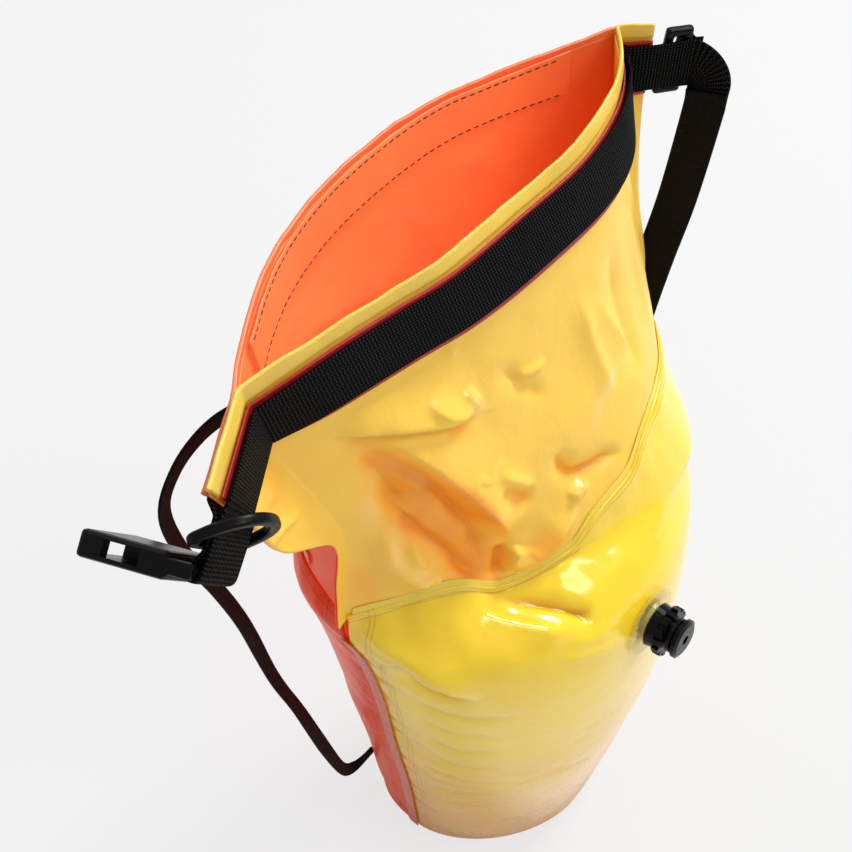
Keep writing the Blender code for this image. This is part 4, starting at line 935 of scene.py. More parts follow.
def satin_strap(name):
    """Smooth black strap with a close weave that hardly shows."""
    sizes, colours = settings()
    m = Nodes(name, constants={"Specular IOR Level": 0.05})
    across, along, _ = m.split(m.cloth())
    twill = ((across + along) / 0.0011 * math.pi).maths("SINE").maths("ABSOLUTE")
    edge = m.line(across, 0.0012, 0.0004) + m.line(across, sizes.strap_width - 0.0012, 0.0004)
    fuzz = m.noise(2200.0, 2.0)
    tint = m.mix(0.4 * fuzz + 0.3 * twill, colours.black, (0.010, 0.008, 0.007))
    return m.finish(tint, 0.46 + 0.14 * fuzz, twill * 0.5 + fuzz * 0.2 - edge * 0.6, 0.0004, 0.7)


def thin_tape(name):
    """Black tape of the tether, a little shiny."""
    colours = settings()[1]
    m = Nodes(name, constants={"Specular IOR Level": 0.08})
    fuzz = m.noise(1800.0, 2.0)
    weave = m.noise(700.0, 1.0, m.stretched((1.0, 1.0, 0.3)))
    tint = m.mix(fuzz * 0.6, colours.black, (0.012, 0.010, 0.009))
    return m.finish(tint, 0.45 + 0.2 * fuzz, weave + fuzz * 0.4, 0.0003, 0.8)


def moulded_plastic(name, roughness=0.24):
    """Black moulded plastic with a faint grain, handling marks and slightly uneven gloss."""
    colour = tuple(settings()[1].black)
    m = Nodes(name, constants={"Specular IOR Level": 0.15})
    broad = m.noise(90.0, 3.0)
    fine = m.noise(2400.0, 2.0)
    scuff = m.noise(380.0, 4.0, m.stretched((1.0, 0.3, 1.0)), 1.5)
    marks = m.ramp(scuff, 0.60, 0.72)
    lighter = tuple(part * 2.0 + 0.003 for part in colour)
    tint = m.mix(marks * 0.35 + broad * 0.15, colour, lighter)
    return m.finish(tint, roughness + 0.10 * broad + 0.12 * marks, fine * 0.3 + broad, 0.0002, 0.35)


def clear_film(name):
    """Pale see-through film of a valve's welded flange."""
    m = Nodes(name, constants={"Specular IOR Level": 0.5, "Coat Weight": 0.4,
                               "Coat Roughness": 0.08, "Alpha": 0.30})
    broad = m.noise(120.0, 3.0)
    tint = m.mix(broad, (0.88, 0.80, 0.25), (0.92, 0.78, 0.20))
    return m.finish(tint, 0.16 + 0.1 * broad, broad, 0.0004, 0.5)


def stitching_thread(name):
    """Twisted dark sewing thread."""
    m = Nodes(name, constants={"Sheen Weight": 0.2})
    fuzz = m.noise(5200.0, 2.0)
    tint = m.mix(fuzz, (0.030, 0.018, 0.014), (0.085, 0.040, 0.028))
    return m.finish(tint, 0.55 + 0.2 * fuzz, fuzz, 0.0002, 0.8)


def surface_of(name, maker, *values):
    """A material of that name, made at its first use."""
    return bpy.data.materials.get(name) or maker(name, *values)


def blurred(field, steps):
    """A field averaged over its neighbours along both of its axes."""
    kernel = np.hanning(2 * steps + 3)[1:-1]
    kernel = kernel / kernel.sum()
    padded_field = np.pad(field, steps, mode="edge")
    padded_field = np.apply_along_axis(np.convolve, 0, padded_field, kernel, mode="valid")
    return np.apply_along_axis(np.convolve, 1, padded_field, kernel, mode="valid")


def fold_of(lift, steps, full):
    """How deep each point lies in a valley, from 0 to 1."""
    return np.clip((blurred(lift, steps) - lift) / full, 0.0, 1.0)


def shaped_grid(columns, down):
    """Columns resampled to the same number of points, as rows by columns."""
    return np.array([evenly(column, down + 1) for column in columns]).transpose(1, 0, 2)


def distance_down(grid):
    """Distance of each grid point from the top of its column."""
    steps = np.linalg.norm(np.diff(grid, axis=0), axis=2)
    return np.vstack([np.zeros((1, grid.shape[1])), np.cumsum(steps, axis=0)])


def distance_from_sides(grid):
    """Distance of each grid point from the nearer end of its row."""
    steps = np.linalg.norm(np.diff(grid, axis=1), axis=2)
    across = np.hstack([np.zeros((grid.shape[0], 1)), np.cumsum(steps, axis=1)])
    return np.minimum(across, across[:, -1:] - across)


def painted_shade_and_shine(grid, normals, from_rim):
    """How much painted warm shade and glow each point of the front panel gets, and where it is
    glossy.
    """
    painted_warm_shade = np.zeros(grid.shape[:2])
    shine = np.zeros(grid.shape[:2])
    for strength, upper, lower, line in PANEL_PAINTED_SHADE:
        distance, along, side = line_fields(grid, normals, line)
        width = np.where(side > 0, upper, lower) * (0.45 + 0.55 * tapered(along))
        strength = strength * (0.3 + 0.7 * tapered(along))
        painted_warm_shade = 1.0 - (1.0 - painted_warm_shade) * (1.0 - strength * np.exp(-(distance / width * 1000) ** 2))
    for width, line in PANEL_SHINE:
        distance = line_fields(grid, normals, line)[0]
        shine = np.maximum(shine, np.exp(-(distance / width * 1000) ** 2))
    below_band = smooth_step(from_rim, *PAINTED_SHADE_BELOW_BAND)
    return painted_warm_shade * (1.0 + 0.35 * noise_of(grid, 0.012, 6)) * below_band, shine


def upper_panel(name, rows, facing, surface, creases, unevenness, down=180):
    """A roll-top panel with its creases; the front one is marked where warm shade and glow are
    painted in its folds.
    """
    columns = panel_columns(rows, facing, settings()[0].panel_columns)
    trimmed = [at_distance(column, np.linspace(RIM_CUT, lengths_along(column)[-1], 200))
               for column in columns]
    grid = shaped_grid(trimmed, down)
    from_rim = distance_down(grid) + RIM_CUT
    from_weld = from_rim[-1:] - from_rim
    fade = (smooth_step(from_rim, *CREASES_BELOW_BAND)
            * smooth_step(from_weld, *CREASES_ABOVE_WELD))
    if facing > 0:
        covered = film_lap(grid[-1, :, 0])[None, :] - LEAST_LAP
        fade = fade * smooth_step(from_weld, *(covered + end for end in CREASES_ABOVE_WELD))
    normals, lift = creased(grid, facing, creases, fade)
    painted_warm_shade = shine = np.zeros(lift.shape)
    if facing > 0:
        lift = lift * FRONT_RELIEF
        painted_warm_shade, shine = painted_shade_and_shine(grid, normals, from_rim)
    stretched = grid * np.array((1.0, 1.0, 0.6))
    lift = lift + fade * unevenness * (
        noise_of(stretched, 0.040, 3) + 0.45 * noise_of(grid, 0.017, 4)
        + 0.22 * noise_of(grid, 0.008, 5))
    from_end = np.minimum(np.arange(lift.shape[1]), np.arange(lift.shape[1])[::-1])
    flat = 1.0 - smooth_step(from_end, EAR_COLUMNS + 2, EAR_COLUMNS + 22)[None, :]
    raised = EAR_PUFF * (lift + np.sqrt(lift ** 2 + EAR_SOFTNESS ** 2)) - EAR_SINK
    lift = lift + (raised - lift) * flat
    values = {"fold": fold_of(lift, 7, 0.0030), "painted_warm_shade": painted_warm_shade, "shine": shine}
    return sheet_object(name, grid + normals * lift[..., None], surface, facing, values)


def chamber_piece(name, top, which, squareness, seam_gap, inset, facing, surface, creases, pucker,
                  down, valve_at=None):
    """A skin or inner wall of a chamber, with puckers along its seams and a hole at a valve."""
    main = settings()[0].panel_columns
    rows = list(top) if isinstance(top, tuple) else [top]
    for level, square in zip(LEVELS, squareness):
        rows.append(oval_half(level, level[which], square, seam_gap, inset, facing, main))
    rows = np.array(rows)
    grid = shaped_grid([curve_through(rows[:, j]) for j in range(rows.shape[1])], down)
    over = distance_down(grid)
    side = distance_from_sides(grid)
    low = grid[..., 2]
    fade = (smooth_step(side, *PUCKERS_FROM_SIDE) * smooth_step(over, *PUCKERS_FROM_TOP)
            * smooth_step(low, *PUCKERS_FROM_BASE))
    normals, lift = creased(grid, facing, creases, fade)
    drawn_out = {"upright": grid * np.array((1.0, 1.0, 0.05)),
                 "level": grid * np.array((0.12, 0.12, 1.0))}
    distance = {"top": over, "side": side, "base": low}
    ripple = np.zeros(lift.shape)
    for run, cell, seed, share, edge, reach in PUCKERS:
        noise = noise_of(drawn_out[run], cell, seed)
        ripple = ripple + noise * share * np.exp(-distance[edge] / reach)
    lift = lift + fade * pucker * (ripple + noise_of(grid, 0.045, 16) * 0.7)
    values = {"fold": fold_of(lift, 6, 0.0028), "side": side, "over": over}
    grid = grid + normals * lift[..., None]
    made = sheet_object(name, grid, surface, facing, values)
    if valve_at is not None:
        with mesh_of(made) as work:
            near = [face for face in work.faces
                    if (face.calc_center_median() - valve_at).length < VALVE_HOLE]
            bmesh.ops.delete(work, geom=near, context="FACES")
    return made


def flat_frames(columns, high, low, offset, facing):
    """Frames of a flat strip on a panel between two distances below its rim."""
    high = np.broadcast_to(high, len(columns))
    low = np.broadcast_to(low, len(columns))

    def places(share):
        """A place on each column, by share of the strip's width from its upper edge."""
        return np.array([at_distance(column, reach)
                         for column, reach in zip(columns, high + (low - high) * share)])

    top, bottom = places(0.0), places(1.0)
    centres = (top + bottom) / 2
    down = units(bottom - top)
    normal = units(facing * np.cross(down, np.gradient(centres, axis=0)))
    side = math.copysign(1.0, offset)
    bulge = np.zeros(len(columns))
    for share in (0.25, 0.5, 0.75):
        out = np.einsum("ij,ij->i", places(share) - centres, normal)
        bulge = np.maximum(bulge, side * out)
    return centres + normal * (offset + side * bulge)[:, None], down, normal


def run_of(frames):
    """A run of frames as three arrays: centres, directions across and normals."""
    return tuple(np.array([frame_at[part] for frame_at in frames]) for part in range(3))


def joined(*runs):
    """One run of frames from several."""
    return tuple(np.concatenate([np.atleast_2d(run[part]) for run in runs]) for part in range(3))


def evened(frames, step, soften):
    """Frames resampled at even steps, with corners rounded over the given length."""
    centres, across, normals = (np.asarray(part, float) for part in frames)
    along = lengths_along(centres)
    count = max(8, int(round(along[-1] / step)))
    spots = np.linspace(0.0, along[-1], count + 1)
    result = []
    reach = max(1, int(round(soften / step)))
    kernel = np.hanning(2 * reach + 3)[1:-1]
    kernel /= kernel.sum()
    for part in (centres, across, normals):
        smooth = np.stack([np.interp(spots, along, part[:, axis]) for axis in range(3)], axis=1)
        if part is centres:
            first = 2 * smooth[0] - smooth[1:reach + 1][::-1]
            last = 2 * smooth[-1] - smooth[-reach - 1:-1][::-1]
        else:
            first = np.repeat(smooth[:1], reach, 0)
            last = np.repeat(smooth[-1:], reach, 0)
        wide = np.vstack([first, smooth, last])
        result.append(np.stack([np.convolve(wide[:, axis], kernel, mode="valid")
                                for axis in range(3)], axis=1))
    centres, across, normals = result
    return centres, across, units(normals)


def strip_object(name, frames, width, thickness, surface, count=17, power=7.0, wave=None):
    """A flat strip with rounded edges lofted through frames; UVs are metres across and along."""
    centres, across, normals = frames
    share = -np.cos(np.linspace(0.0, math.pi, count))
    share = 0.55 * share + 0.45 * np.linspace(-1.0, 1.0, count)
    half = thickness / 2 * np.maximum(0.0, 1 - np.abs(share) ** power) ** (1 / power)
    ring_across = np.concatenate([share, share[-2:0:-1]])
    ring_out = np.concatenate([half, -half[-2:0:-1]])
    n = len(ring_across)
    bend = np.zeros(len(centres)) if wave is None else wave
    verts = (centres[:, None, :] + across[:, None, :] * (ring_across * width / 2)[None, :, None]
             + normals[:, None, :] * (ring_out[None, :, None] + bend[:, None, None]))
    from_edge = (ring_across + 1)[None, :] * width / 2
    uvs = np.stack(np.broadcast_arrays(from_edge, lengths_along(centres)[:, None]), axis=2)
    faces = []
    for i in range(len(centres) - 1):
        for k in range(n):
            following = (k + 1) % n
            faces.append((i * n + k, i * n + following, (i + 1) * n + following, (i + 1) * n + k))
    for i, turn in ((0, 1), (len(centres) - 1, -1)):
        for k in range(count - 1):
            if k == 0:
                cap = (i * n, i * n + n - 1, i * n + 1)
            elif k == count - 2:
                cap = (i * n + k, i * n + n - k, i * n + k + 1)
            else:
                cap = (i * n + k, i * n + n - k, i * n + n - k - 1, i * n + k + 1)
            faces.append(cap[::turn])
    made = make_mesh(name, verts.reshape(-1, 3), faces, uvs.reshape(-1, 2))
    face_outwards(made)
    made.data.materials.append(surface)
    return made


def stitches(name, frames, surface, radius=0.00034):
    """A row of thread stitches along frames, each a short rounded piece sunk at both ends."""
    sizes = settings()[0]
    centres, across, normals = frames
    along = lengths_along(centres)
    verts, faces = [], []
    place = along[0] + STITCHES_FROM_END
    while place + sizes.stitch_length < along[-1] - STITCHES_FROM_END:
        base = len(verts)
        for k, (share, sunk, size) in enumerate(STITCH_SHAPE):
            spot = place + share * sizes.stitch_length
            centre = np.array([np.interp(spot, along, centres[:, axis]) for axis in range(3)])
            side = unit([np.interp(spot, along, across[:, axis]) for axis in range(3)])
            out = unit([np.interp(spot, along, normals[:, axis]) for axis in range(3)])
            for step in range(6):
                angle = math.pi * step / 3
                reach = side * math.cos(angle) + out * math.sin(angle)
                verts.append(centre + out * sunk * radius + reach * radius * size)
            if k:
                for step in range(6):
                    following = (step + 1) % 6
                    low = base + 6 * (k - 1)
                    faces.append((low + step, low + following, low + 6 + following, low + 6 + step))
        faces.append(tuple(base + step for step in range(5, -1, -1)))
        faces.append(tuple(base + 24 + step for step in range(6)))
        place += sizes.stitch_length + sizes.stitch_space
    made = make_mesh(name, verts, faces)
    made.data.materials.append(surface)
    return made


def bar_loop(bar, along, across, out, radius):
    """Frames of a strap that comes along, turns back round a bar and leaves on its other side."""
    angles = np.linspace(0.0, math.pi, 17)[:, None]
    ring = out * np.cos(angles) + along * np.sin(angles)
    return bar + ring * radius, np.repeat(across[None], 17, 0), ring


def place_camera():
    """The camera that the photograph was taken with, as near as it can be told."""
    camera = bpy.data.cameras.new("camera")
    camera.sensor_width = SENSOR_WIDTH
    camera.lens = FOCAL_LENGTH_IN_PIXELS / PHOTO_SIDE * SENSOR_WIDTH
    camera.clip_start = 0.01
    made = bpy.data.objects.new("camera", camera)
    made.location = (-0.317, -0.1953, 0.794)
    made.rotation_euler = (math.radians(40), 0.0, math.radians(-50))
    bpy.context.scene.collection.objects.link(made)
    bpy.context.scene.camera = made


def area_light(name, place, size, power):
    """A square soft light aimed at the middle of the bag."""
    light = bpy.data.lights.new(name, "AREA")
    light.shape = "SQUARE"
    light.size = size
    light.energy = power
    made = bpy.data.objects.new(name, light)
    made.location = place
    made.rotation_euler = (Vector(LIT_POINT) - Vector(place)).to_track_quat("-Z", "Y").to_euler()
    bpy.context.scene.collection.objects.link(made)


def make_tape():
    """The thin tether tape, a free flat cord whose two ends go under patches on the bag."""
    sizes = settings()[0]
    points = evenly(curve_through(TAPE_ROUTE), 150)
    curve = bpy.data.curves.new("tether_tape_cloth", "CURVE")
    curve.dimensions = "3D"
    curve.bevel_depth = TAPE_HALF_THICKNESS
    curve.extrude = sizes.tape_width / 2 - curve.bevel_depth
    curve.bevel_resolution = 3
    curve.use_fill_caps = True
    spline = curve.splines.new("POLY")
    spline.points.add(len(points) - 1)
    shares, turns = zip(*TAPE_TWIST)
    along = lengths_along(points)
    for spot, point, share in zip(spline.points, points, along / along[-1]):
        spot.co = (*point, 1.0)
        spot.tilt = math.radians(float(np.interp(share, shares, turns)))
    spline.use_smooth = True
    made = bpy.data.objects.new("tether_tape_cloth", curve)
    bpy.context.scene.collection.objects.link(made)
    curve.materials.append(surface_of("thin_tape", thin_tape))
    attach(made, BODY)
    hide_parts("tether_tape")


def make_panels():
    """Both roll-top panels with their creases."""
    for name, node, rows, facing, maker, creases, unevenness, slot in (
            ("front_panel_cloth", "front_upper_panel", FRONT_ROWS, 1, roll_top_cloth,
             PANEL_CREASES, 0.0011, "matte_yellow"),
            ("back_panel_cloth", "back_upper_panel", BACK_ROWS, -1, mouth_cloth,
             MOUTH_CREASES, 0.0010, "orange")):
        surface = surface_of(maker.__name__, maker)
        made = upper_panel(name, rows, facing, surface, creases, unevenness)
        finish_piece(made, node, slot=slot)


def both_columns():
    """The plain columns of the front and back panels, and how many lie between the folds."""
    main = settings()[0].panel_columns
    return panel_columns(FRONT_ROWS, 1, main), panel_columns(BACK_ROWS, -1, main), main


def valve_place(side):
    """The middle of a valve's flange."""
    low, high = (np.array(corner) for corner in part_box(side + "_valve_flange"))
    return Vector((low + high) / 2)


def make_chamber_pieces():
    """Skins and inner walls of the two air chambers."""
    colours = settings()[1]
    front, back, main = both_columns()
    # Each film gets its top colour, the low colour of its painted height shading, and a deep colour
    # for its painted fold shade and its weld lines
    yellow = surface_of("front_film", chamber_film, colours.glossy_yellow, colours.pale_yellow,
                        (0.60, 0.27, 0.012))
    red = surface_of("back_film", chamber_film, colours.red_orange, (0.84, 0.10, 0.030),
                     (0.40, 0.015, 0.004), 0.26, 0.08)
    lining = surface_of("mouth_cloth", mouth_cloth)
    skin, wall = (SKIN_SEAM_GAP, 0.0), (WALL_SEAM_GAP, WALL_INSET)
    for (name, node, top, which, squareness, gaps, facing, surface, creases, pucker, slot, down,
         valve) in (
            ("front_skin_cloth", "front_chamber_skin", film_rows(front, main)[:2], FRONT_SKIN,
             FRONT_SQUARENESS, skin, 1, yellow, SKIN_CREASES, 0.0013, "glossy_yellow", 190,
             "front"),
            ("front_wall_cloth", "front_inner_wall", weld_row(front, main, 1, True), FRONT_WALL,
             WALL_SQUARENESS, wall, 1, yellow, WALL_CREASES, 0.0006, "glossy_yellow", 90, None),
            ("back_wall_cloth", "back_inner_wall", weld_row(back, main, -1, True), BACK_WALL,
             WALL_SQUARENESS, wall, -1, lining, [], 0.0006, "orange", 90, None),
            ("back_skin_cloth", "back_chamber_skin", weld_row(back, main, -1, False), BACK_SKIN,
             BACK_SQUARENESS, skin, -1, red, BACK_CREASES, 0.0011, "red_orange", 190, "back")):
        made = chamber_piece(name, top, which, squareness, *gaps, facing, surface, creases, pucker,
                             down, valve_place(valve) if valve else None)
        finish_piece(made, node, slot=slot)


def make_base_cloth():
    """The oval base, a closed disc of heavier fabric."""
    level = LEVELS[-1]
    front = oval_half(level, level[FRONT_SKIN], FRONT_SQUARENESS[-1], 0.0, 0.0, 1, 60)
    back = oval_half(level, level[BACK_SKIN], BACK_SQUARENESS[-1], 0.0, 0.0, -1, 60)
    outline = np.vstack([front, back[::-1][1:-1]])[:, :2]
    middle = outline.mean(axis=0)
    n = len(outline)
    verts, faces = [], []
    for height, turn in ((0.0, 1), (BASE_THICKNESS, -1)):
        base = len(verts)
        verts.append((*middle, height))
        for ring in range(1, BASE_RINGS + 1):
            inset = BASE_ROUNDING if ring == BASE_RINGS else 0.0
            for x, y in middle + (outline - middle) * (ring / BASE_RINGS):
                pull = unit((middle[0] - x, middle[1] - y, 0.0)) * inset
                verts.append((x + pull[0], y + pull[1], height))
        for k in range(n):
            following = (k + 1) % n
            faces.append((base, base + 1 + following, base + 1 + k)[::turn])
            for ring in range(BASE_RINGS - 1):
                low = base + 1 + ring * n
                faces.append((low + k, low + following,
                              low + n + following, low + n + k)[::turn])
    lower = 1 + (BASE_RINGS - 1) * n
    upper = lower + 1 + BASE_RINGS * n
    edge = len(verts)
    verts.extend((x, y, BASE_THICKNESS / 2) for x, y in outline)
    for k in range(n):
        following = (k + 1) % n
        faces.append((lower + k, lower + following, edge + following, edge + k))
        faces.append((edge + k, edge + following, upper + following, upper + k))
    made = make_mesh("base_cloth", verts, faces)
    face_outwards(made)
    made.data.materials.append(surface_of("base_tarpaulin", strip_cloth,
                                          tuple(settings()[1].orange), 0.34))
    finish_piece(made, "base_panel", slot="orange")


def make_seam_strip_cloths():
    """Welded strips over the chambers' side seams and along their top welds."""
    colours = settings()[1]
    salmon = surface_of("seam_salmon", strip_cloth, tuple(colours.salmon), 0.30)
    for name, node, column, side in (("left_seam_cloth", "left_seam_strip", 1, -1),
                                     ("right_seam_cloth", "right_seam_strip", 2, 1)):
        line = curve_through([(level[column] + side * SEAM_STAND_OFF, level[3], level[0])
                              for level in LEVELS])
        across = np.repeat([[0.0, 1.0, 0.0]], len(line), 0)
        out = np.repeat([[float(side), 0.0, 0.0]], len(line), 0)
        frames = evened((line, across, out), *SEAM_STEPS)
        along = lengths_along(frames[0])
        wave = 0.0002 * np.sin(along / 0.0019) * np.sin(along / 0.011)
        made = strip_object(name, frames, SEAM_STRIP_WIDTH, FABRIC, salmon, 9, wave=wave)
        finish_piece(made, node, slot="salmon")
    front, back, main = both_columns()
    weld_yellow = surface_of("weld_yellow", strip_cloth, (1.0, 0.76, 0.10), 0.30)
    weld_red = surface_of("weld_red", strip_cloth, tuple(colours.red_orange), 0.24)
    lap = film_rows(front, main)[2]
    for name, node, columns, facing, end, up, surface, slot in (
            ("front_weld_cloth", "front_weld_strip", front, 1, 2, lap - LEAST_LAP,
             weld_yellow, "glossy_yellow"),
            ("back_weld_cloth", "back_weld_strip", back, -1, 2 * main // SOLID_COLUMNS,
             np.full(main + 1, BACK_WELD_HEIGHT), weld_red, "red_orange")):
        inner = columns[EAR_COLUMNS + end:EAR_COLUMNS + main - end + 1]
        near = up[end:main - end + 1]
        centres, across, normals = flat_frames([column[::-1] for column in inner], near,
                                               near + WELD_STRIP_WIDTH, -FABRIC, facing)
        frames = evened((centres, across, -normals), *WELD_STEPS)
        made = strip_object(name, frames, WELD_STRIP_WIDTH, WELD_STRIP_THICKNESS, surface, 9)
        finish_piece(made, node, slot=slot)


def make_hems():
    """The rolled hem of each panel, a little uneven, and broader at the front's left end."""
    colours = settings()[1]
    front, back, _ = both_columns()
    yellow = surface_of("hem_yellow", strip_cloth, tuple(colours.matte_yellow), 0.36)
    orange = surface_of("hem_orange", strip_cloth, tuple(colours.orange), 0.36)
    for name, node, columns, facing, surface, slot in (
            ("front_hem_cloth", "front_rim_hem", front, 1, yellow, "matte_yellow"),
            ("back_hem_cloth", "back_rim_hem", back, -1, orange, "orange")):
        frames = flat_frames(columns, 0.0, HEM_HEIGHT, (HEM_THICKNESS - FABRIC) / 2, facing)
        centres, down, normals = evened(frames, *HEM_STEPS)
        left = 1.0 - smooth_step(lengths_along(centres), 0.045, 0.085)
        broad = 1.75 + 0.75 * left if facing > 0 else 1.15
        uneven = broad + 0.18 * noise_of(centres, 0.016, 21) + 0.08 * noise_of(centres, 0.005, 22)
        centres = centres - down * (HEM_HEIGHT / 2 * (uneven - 1.08))[:, None]
        wave = 0.00022 * noise_of(centres, 0.009, 23)
        made = strip_object(name, (centres, down * uneven[:, None], normals), HEM_HEIGHT,
                            HEM_THICKNESS * 0.8, surface, 15, 6.0, wave)
        finish_piece(made, node, slot=slot)


def make_back_lining():
    """The stiffener inside the back hem, the lining over it and the lining's two stitch lines."""
    _, back, main = both_columns()
    end = 2 * main // SOLID_COLUMNS
    inner = back[EAR_COLUMNS + end:EAR_COLUMNS + main - end + 1]
    inward = -(FABRIC + GAP)
    white = surface_of("stiffener_white", strip_cloth, (0.75, 0.72, 0.68), 0.45)
    stiffener = evened(flat_frames(inner, *STIFFENER_SPAN, inward, -1), *STIFFENER_STEPS)
    made = strip_object("stiffener_cloth", stiffener, STIFFENER_HEIGHT, FABRIC * 0.8, white, 9)
    finish_piece(made, "back_stiffener_strip", slot="strip_white")
    lining = evened(flat_frames(inner, *LINING_SPAN, 2 * inward, -1), *LINING_STEPS)
    wave = -0.00018 * np.sin(lengths_along(lining[0]) / 0.006) ** 2
    made = strip_object("hem_lining_cloth", lining, BACK_HEM_HEIGHT, FABRIC,
                        surface_of("mouth_cloth", mouth_cloth), 21, 8.0, wave)
    finish_piece(made, "back_hem_lining", slot="orange")
    thread = surface_of("stitching_thread", stitching_thread)
    centres, down, normals = lining
    for name, share in (("upper_stitches", -0.40), ("lower_stitches", 0.44)):
        line = (centres + down * share * BACK_HEM_HEIGHT
                - normals * (FABRIC / 2 + THREAD_ABOVE_CLOTH))
        made = stitches(name, (line, down, -normals), thread)
        finish_piece(made, slot="webbing_black")


def make_edging():
    """The red edging tape, which shows a little above and below the webbing."""
    sizes, colours = settings()
    edging = surface_of("edging_tape", strip_cloth, tuple(colours.edging), 0.50, 0.35)
    middle = BAND_TOP + sizes.webbing_width / 2
    half = sizes.edging_width / 2
    offset = FABRIC / 2 + EDGING_GAP + EDGING_THICKNESS / 2
    frames = flat_frames(both_columns()[0], middle - half + EDGING_SHORTER,
                         middle + half + EDGING_LONGER, offset, 1)
    made = strip_object("red_edging_cloth", evened(frames, *EDGING_STEPS),
                        sizes.edging_width - EDGING_SHORTER + EDGING_LONGER,
                        EDGING_THICKNESS, edging, 13)
    finish_piece(made, "red_edging_tape", slot="edging_red")


def webbing_frames(front):
    """The mouth webbing's frames, then the band's end, its turn and its normal there."""
    sizes = settings()[0]
    width, thick = sizes.webbing_width, sizes.webbing_thickness
    loop_radius = BAR_RADIUS + BAR_CLEARANCE + thick / 2
    offset = FABRIC / 2 + EDGING_GAP + EDGING_THICKNESS + WEBBING_GAP + thick / 2
    band = flat_frames(front, BAND_TOP, BAND_TOP + width, offset, 1)
    centre, down, normal = (part[0] for part in band)
    along = unit(LEFT_LOOP - centre)
    across = unit(LEFT_LOOP_ACROSS - along * (LEFT_LOOP_ACROSS @ along))
    out = unit(np.cross(along, across))
    bar = LEFT_LOOP - out * loop_radius
    pressed_by = thick + GAP
    ear = unit(band[0][0] - band[0][EAR_COLUMNS // 2])
    under = centre - normal * (2 * loop_radius + WEBBING_GAP)
    start = centre + along * TWIST_LENGTH
    pressed = centre + along * RING_PLACE - out * pressed_by
    back_layer = run_of([(pressed + along * RING_SECTION / 2, across, -out),
                         (start - out * pressed_by, across, -out), (under, down, -normal),
                         (under - ear * RETURN_LENGTH, down, -normal)])
    left = joined((start, across, out), bar_loop(bar, along, across, out, loop_radius), back_layer)
    edge, behind = unit(RIGHT_EDGE), unit(BEHIND_STRAP)
    fan = []
    for share in np.linspace(0.0, 1.0, 13):
        angle = math.radians(90) * share
        arm = edge * math.sin(angle) + np.array((0.0, 0.0, 1.0)) * math.cos(angle)
        wide = width * (1 - share) + sizes.strap_width * share
        fan.append((RIGHT_TURN + arm * wide / 2, -arm * wide / width, -behind))
    end = fan[-1]
    fan.append((end[0] - np.array((0.0, 0.0, LAP_LENGTH)), end[1], end[2]))
    fan = run_of(fan)
    frames = joined(tuple(part[::-1] for part in left), band, fan)
    return evened(frames, *WEBBING_STEPS), (band[0][-1], fan[0][0], band[2][-1])


def make_webbing_cloths():
    """The ribbed mouth webbing and the strip that keeps the right ring on it."""
    sizes = settings()[0]
    frames, (ear_end, fan_start, front_normal) = webbing_frames(both_columns()[0])
    black = surface_of("ribbed_webbing", ribbed_webbing)
    made = strip_object("mouth_webbing_cloth", frames, sizes.webbing_width,
                        sizes.webbing_thickness, black, 25)
    finish_piece(made, "mouth_webbing", slot="webbing_black")
    along = unit(fan_start - ear_end)
    out = unit(front_normal - along * (front_normal @ along))
    upward = unit(np.cross(along, out))
    upward = upward if upward[2] > 0 else -upward
    thick = sizes.webbing_thickness / 2
    level = fan_start - along * RIGHT_RING_FROM_FAN
    near = thick + 1.5 * GAP + KEEPER_THICKNESS / 2
    far = thick + 3 * GAP + RING_SECTION + KEEPER_THICKNESS / 2
    side = RING_SECTION / 2 + GAP + KEEPER_THICKNESS / 2 + KEEPER_SLACK
    corner = KEEPER_CORNER
    route = [(-side, near), (-side, far - corner), (-side + corner, far), (side - corner, far),
             (side, far - corner), (side, near + corner), (side + corner, near),
             (side + KEEPER_FOOT, near)]
    line = np.array([level + along * x - out * depth for x, depth in route])
    normals = np.cross(units(np.gradient(line, axis=0)), upward)
    keeper = evened((line, np.repeat(upward[None], len(line), 0), normals), *KEEPER_STEPS)
    made = strip_object("ring_keeper_cloth", keeper, KEEPER_WIDTH, KEEPER_THICKNESS, black, 25)
    finish_piece(made, "ring_keeper", slot="webbing_black")


def make_strap_cloth():
    """The smooth closure strap that hangs from the webbing's right end to the buckle's plug."""
    sizes = settings()[0]
    line = evenly(curve_through(STRAP_ROUTE), 120)
    edge = unit(RIGHT_EDGE)
    run = units(np.gradient(line, axis=0))
    across = units(edge - run * (run @ edge)[:, None])
    out = np.cross(run, across)
    radius = BAR_RADIUS + BAR_CLEARANCE + sizes.webbing_thickness / 2
    last_across, last_out = across[-1], out[-1]
    along = unit(np.cross(last_across, last_out))
    bar = line[-1] - last_out * radius
    loop = bar_loop(bar, along, last_across, last_out, radius)
    tail = (bar - last_out * radius - along * RETURN_LENGTH, last_across, -last_out)
    frames = joined((line[:-1], across[:-1], out[:-1]), loop, tail)
    frames = evened(frames, *STRAP_STEPS)
    made = strip_object("closure_strap_cloth", frames, sizes.strap_width, STRAP_THICKNESS,
                        surface_of("satin_strap", satin_strap), 17)
    finish_piece(made, "closure_strap", slot="strap_black")


def dress(names, surface):
    """Give the named solids of the frame a detailed material."""
    for name in names:
        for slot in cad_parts[name].material_slots:
            slot.material = surface


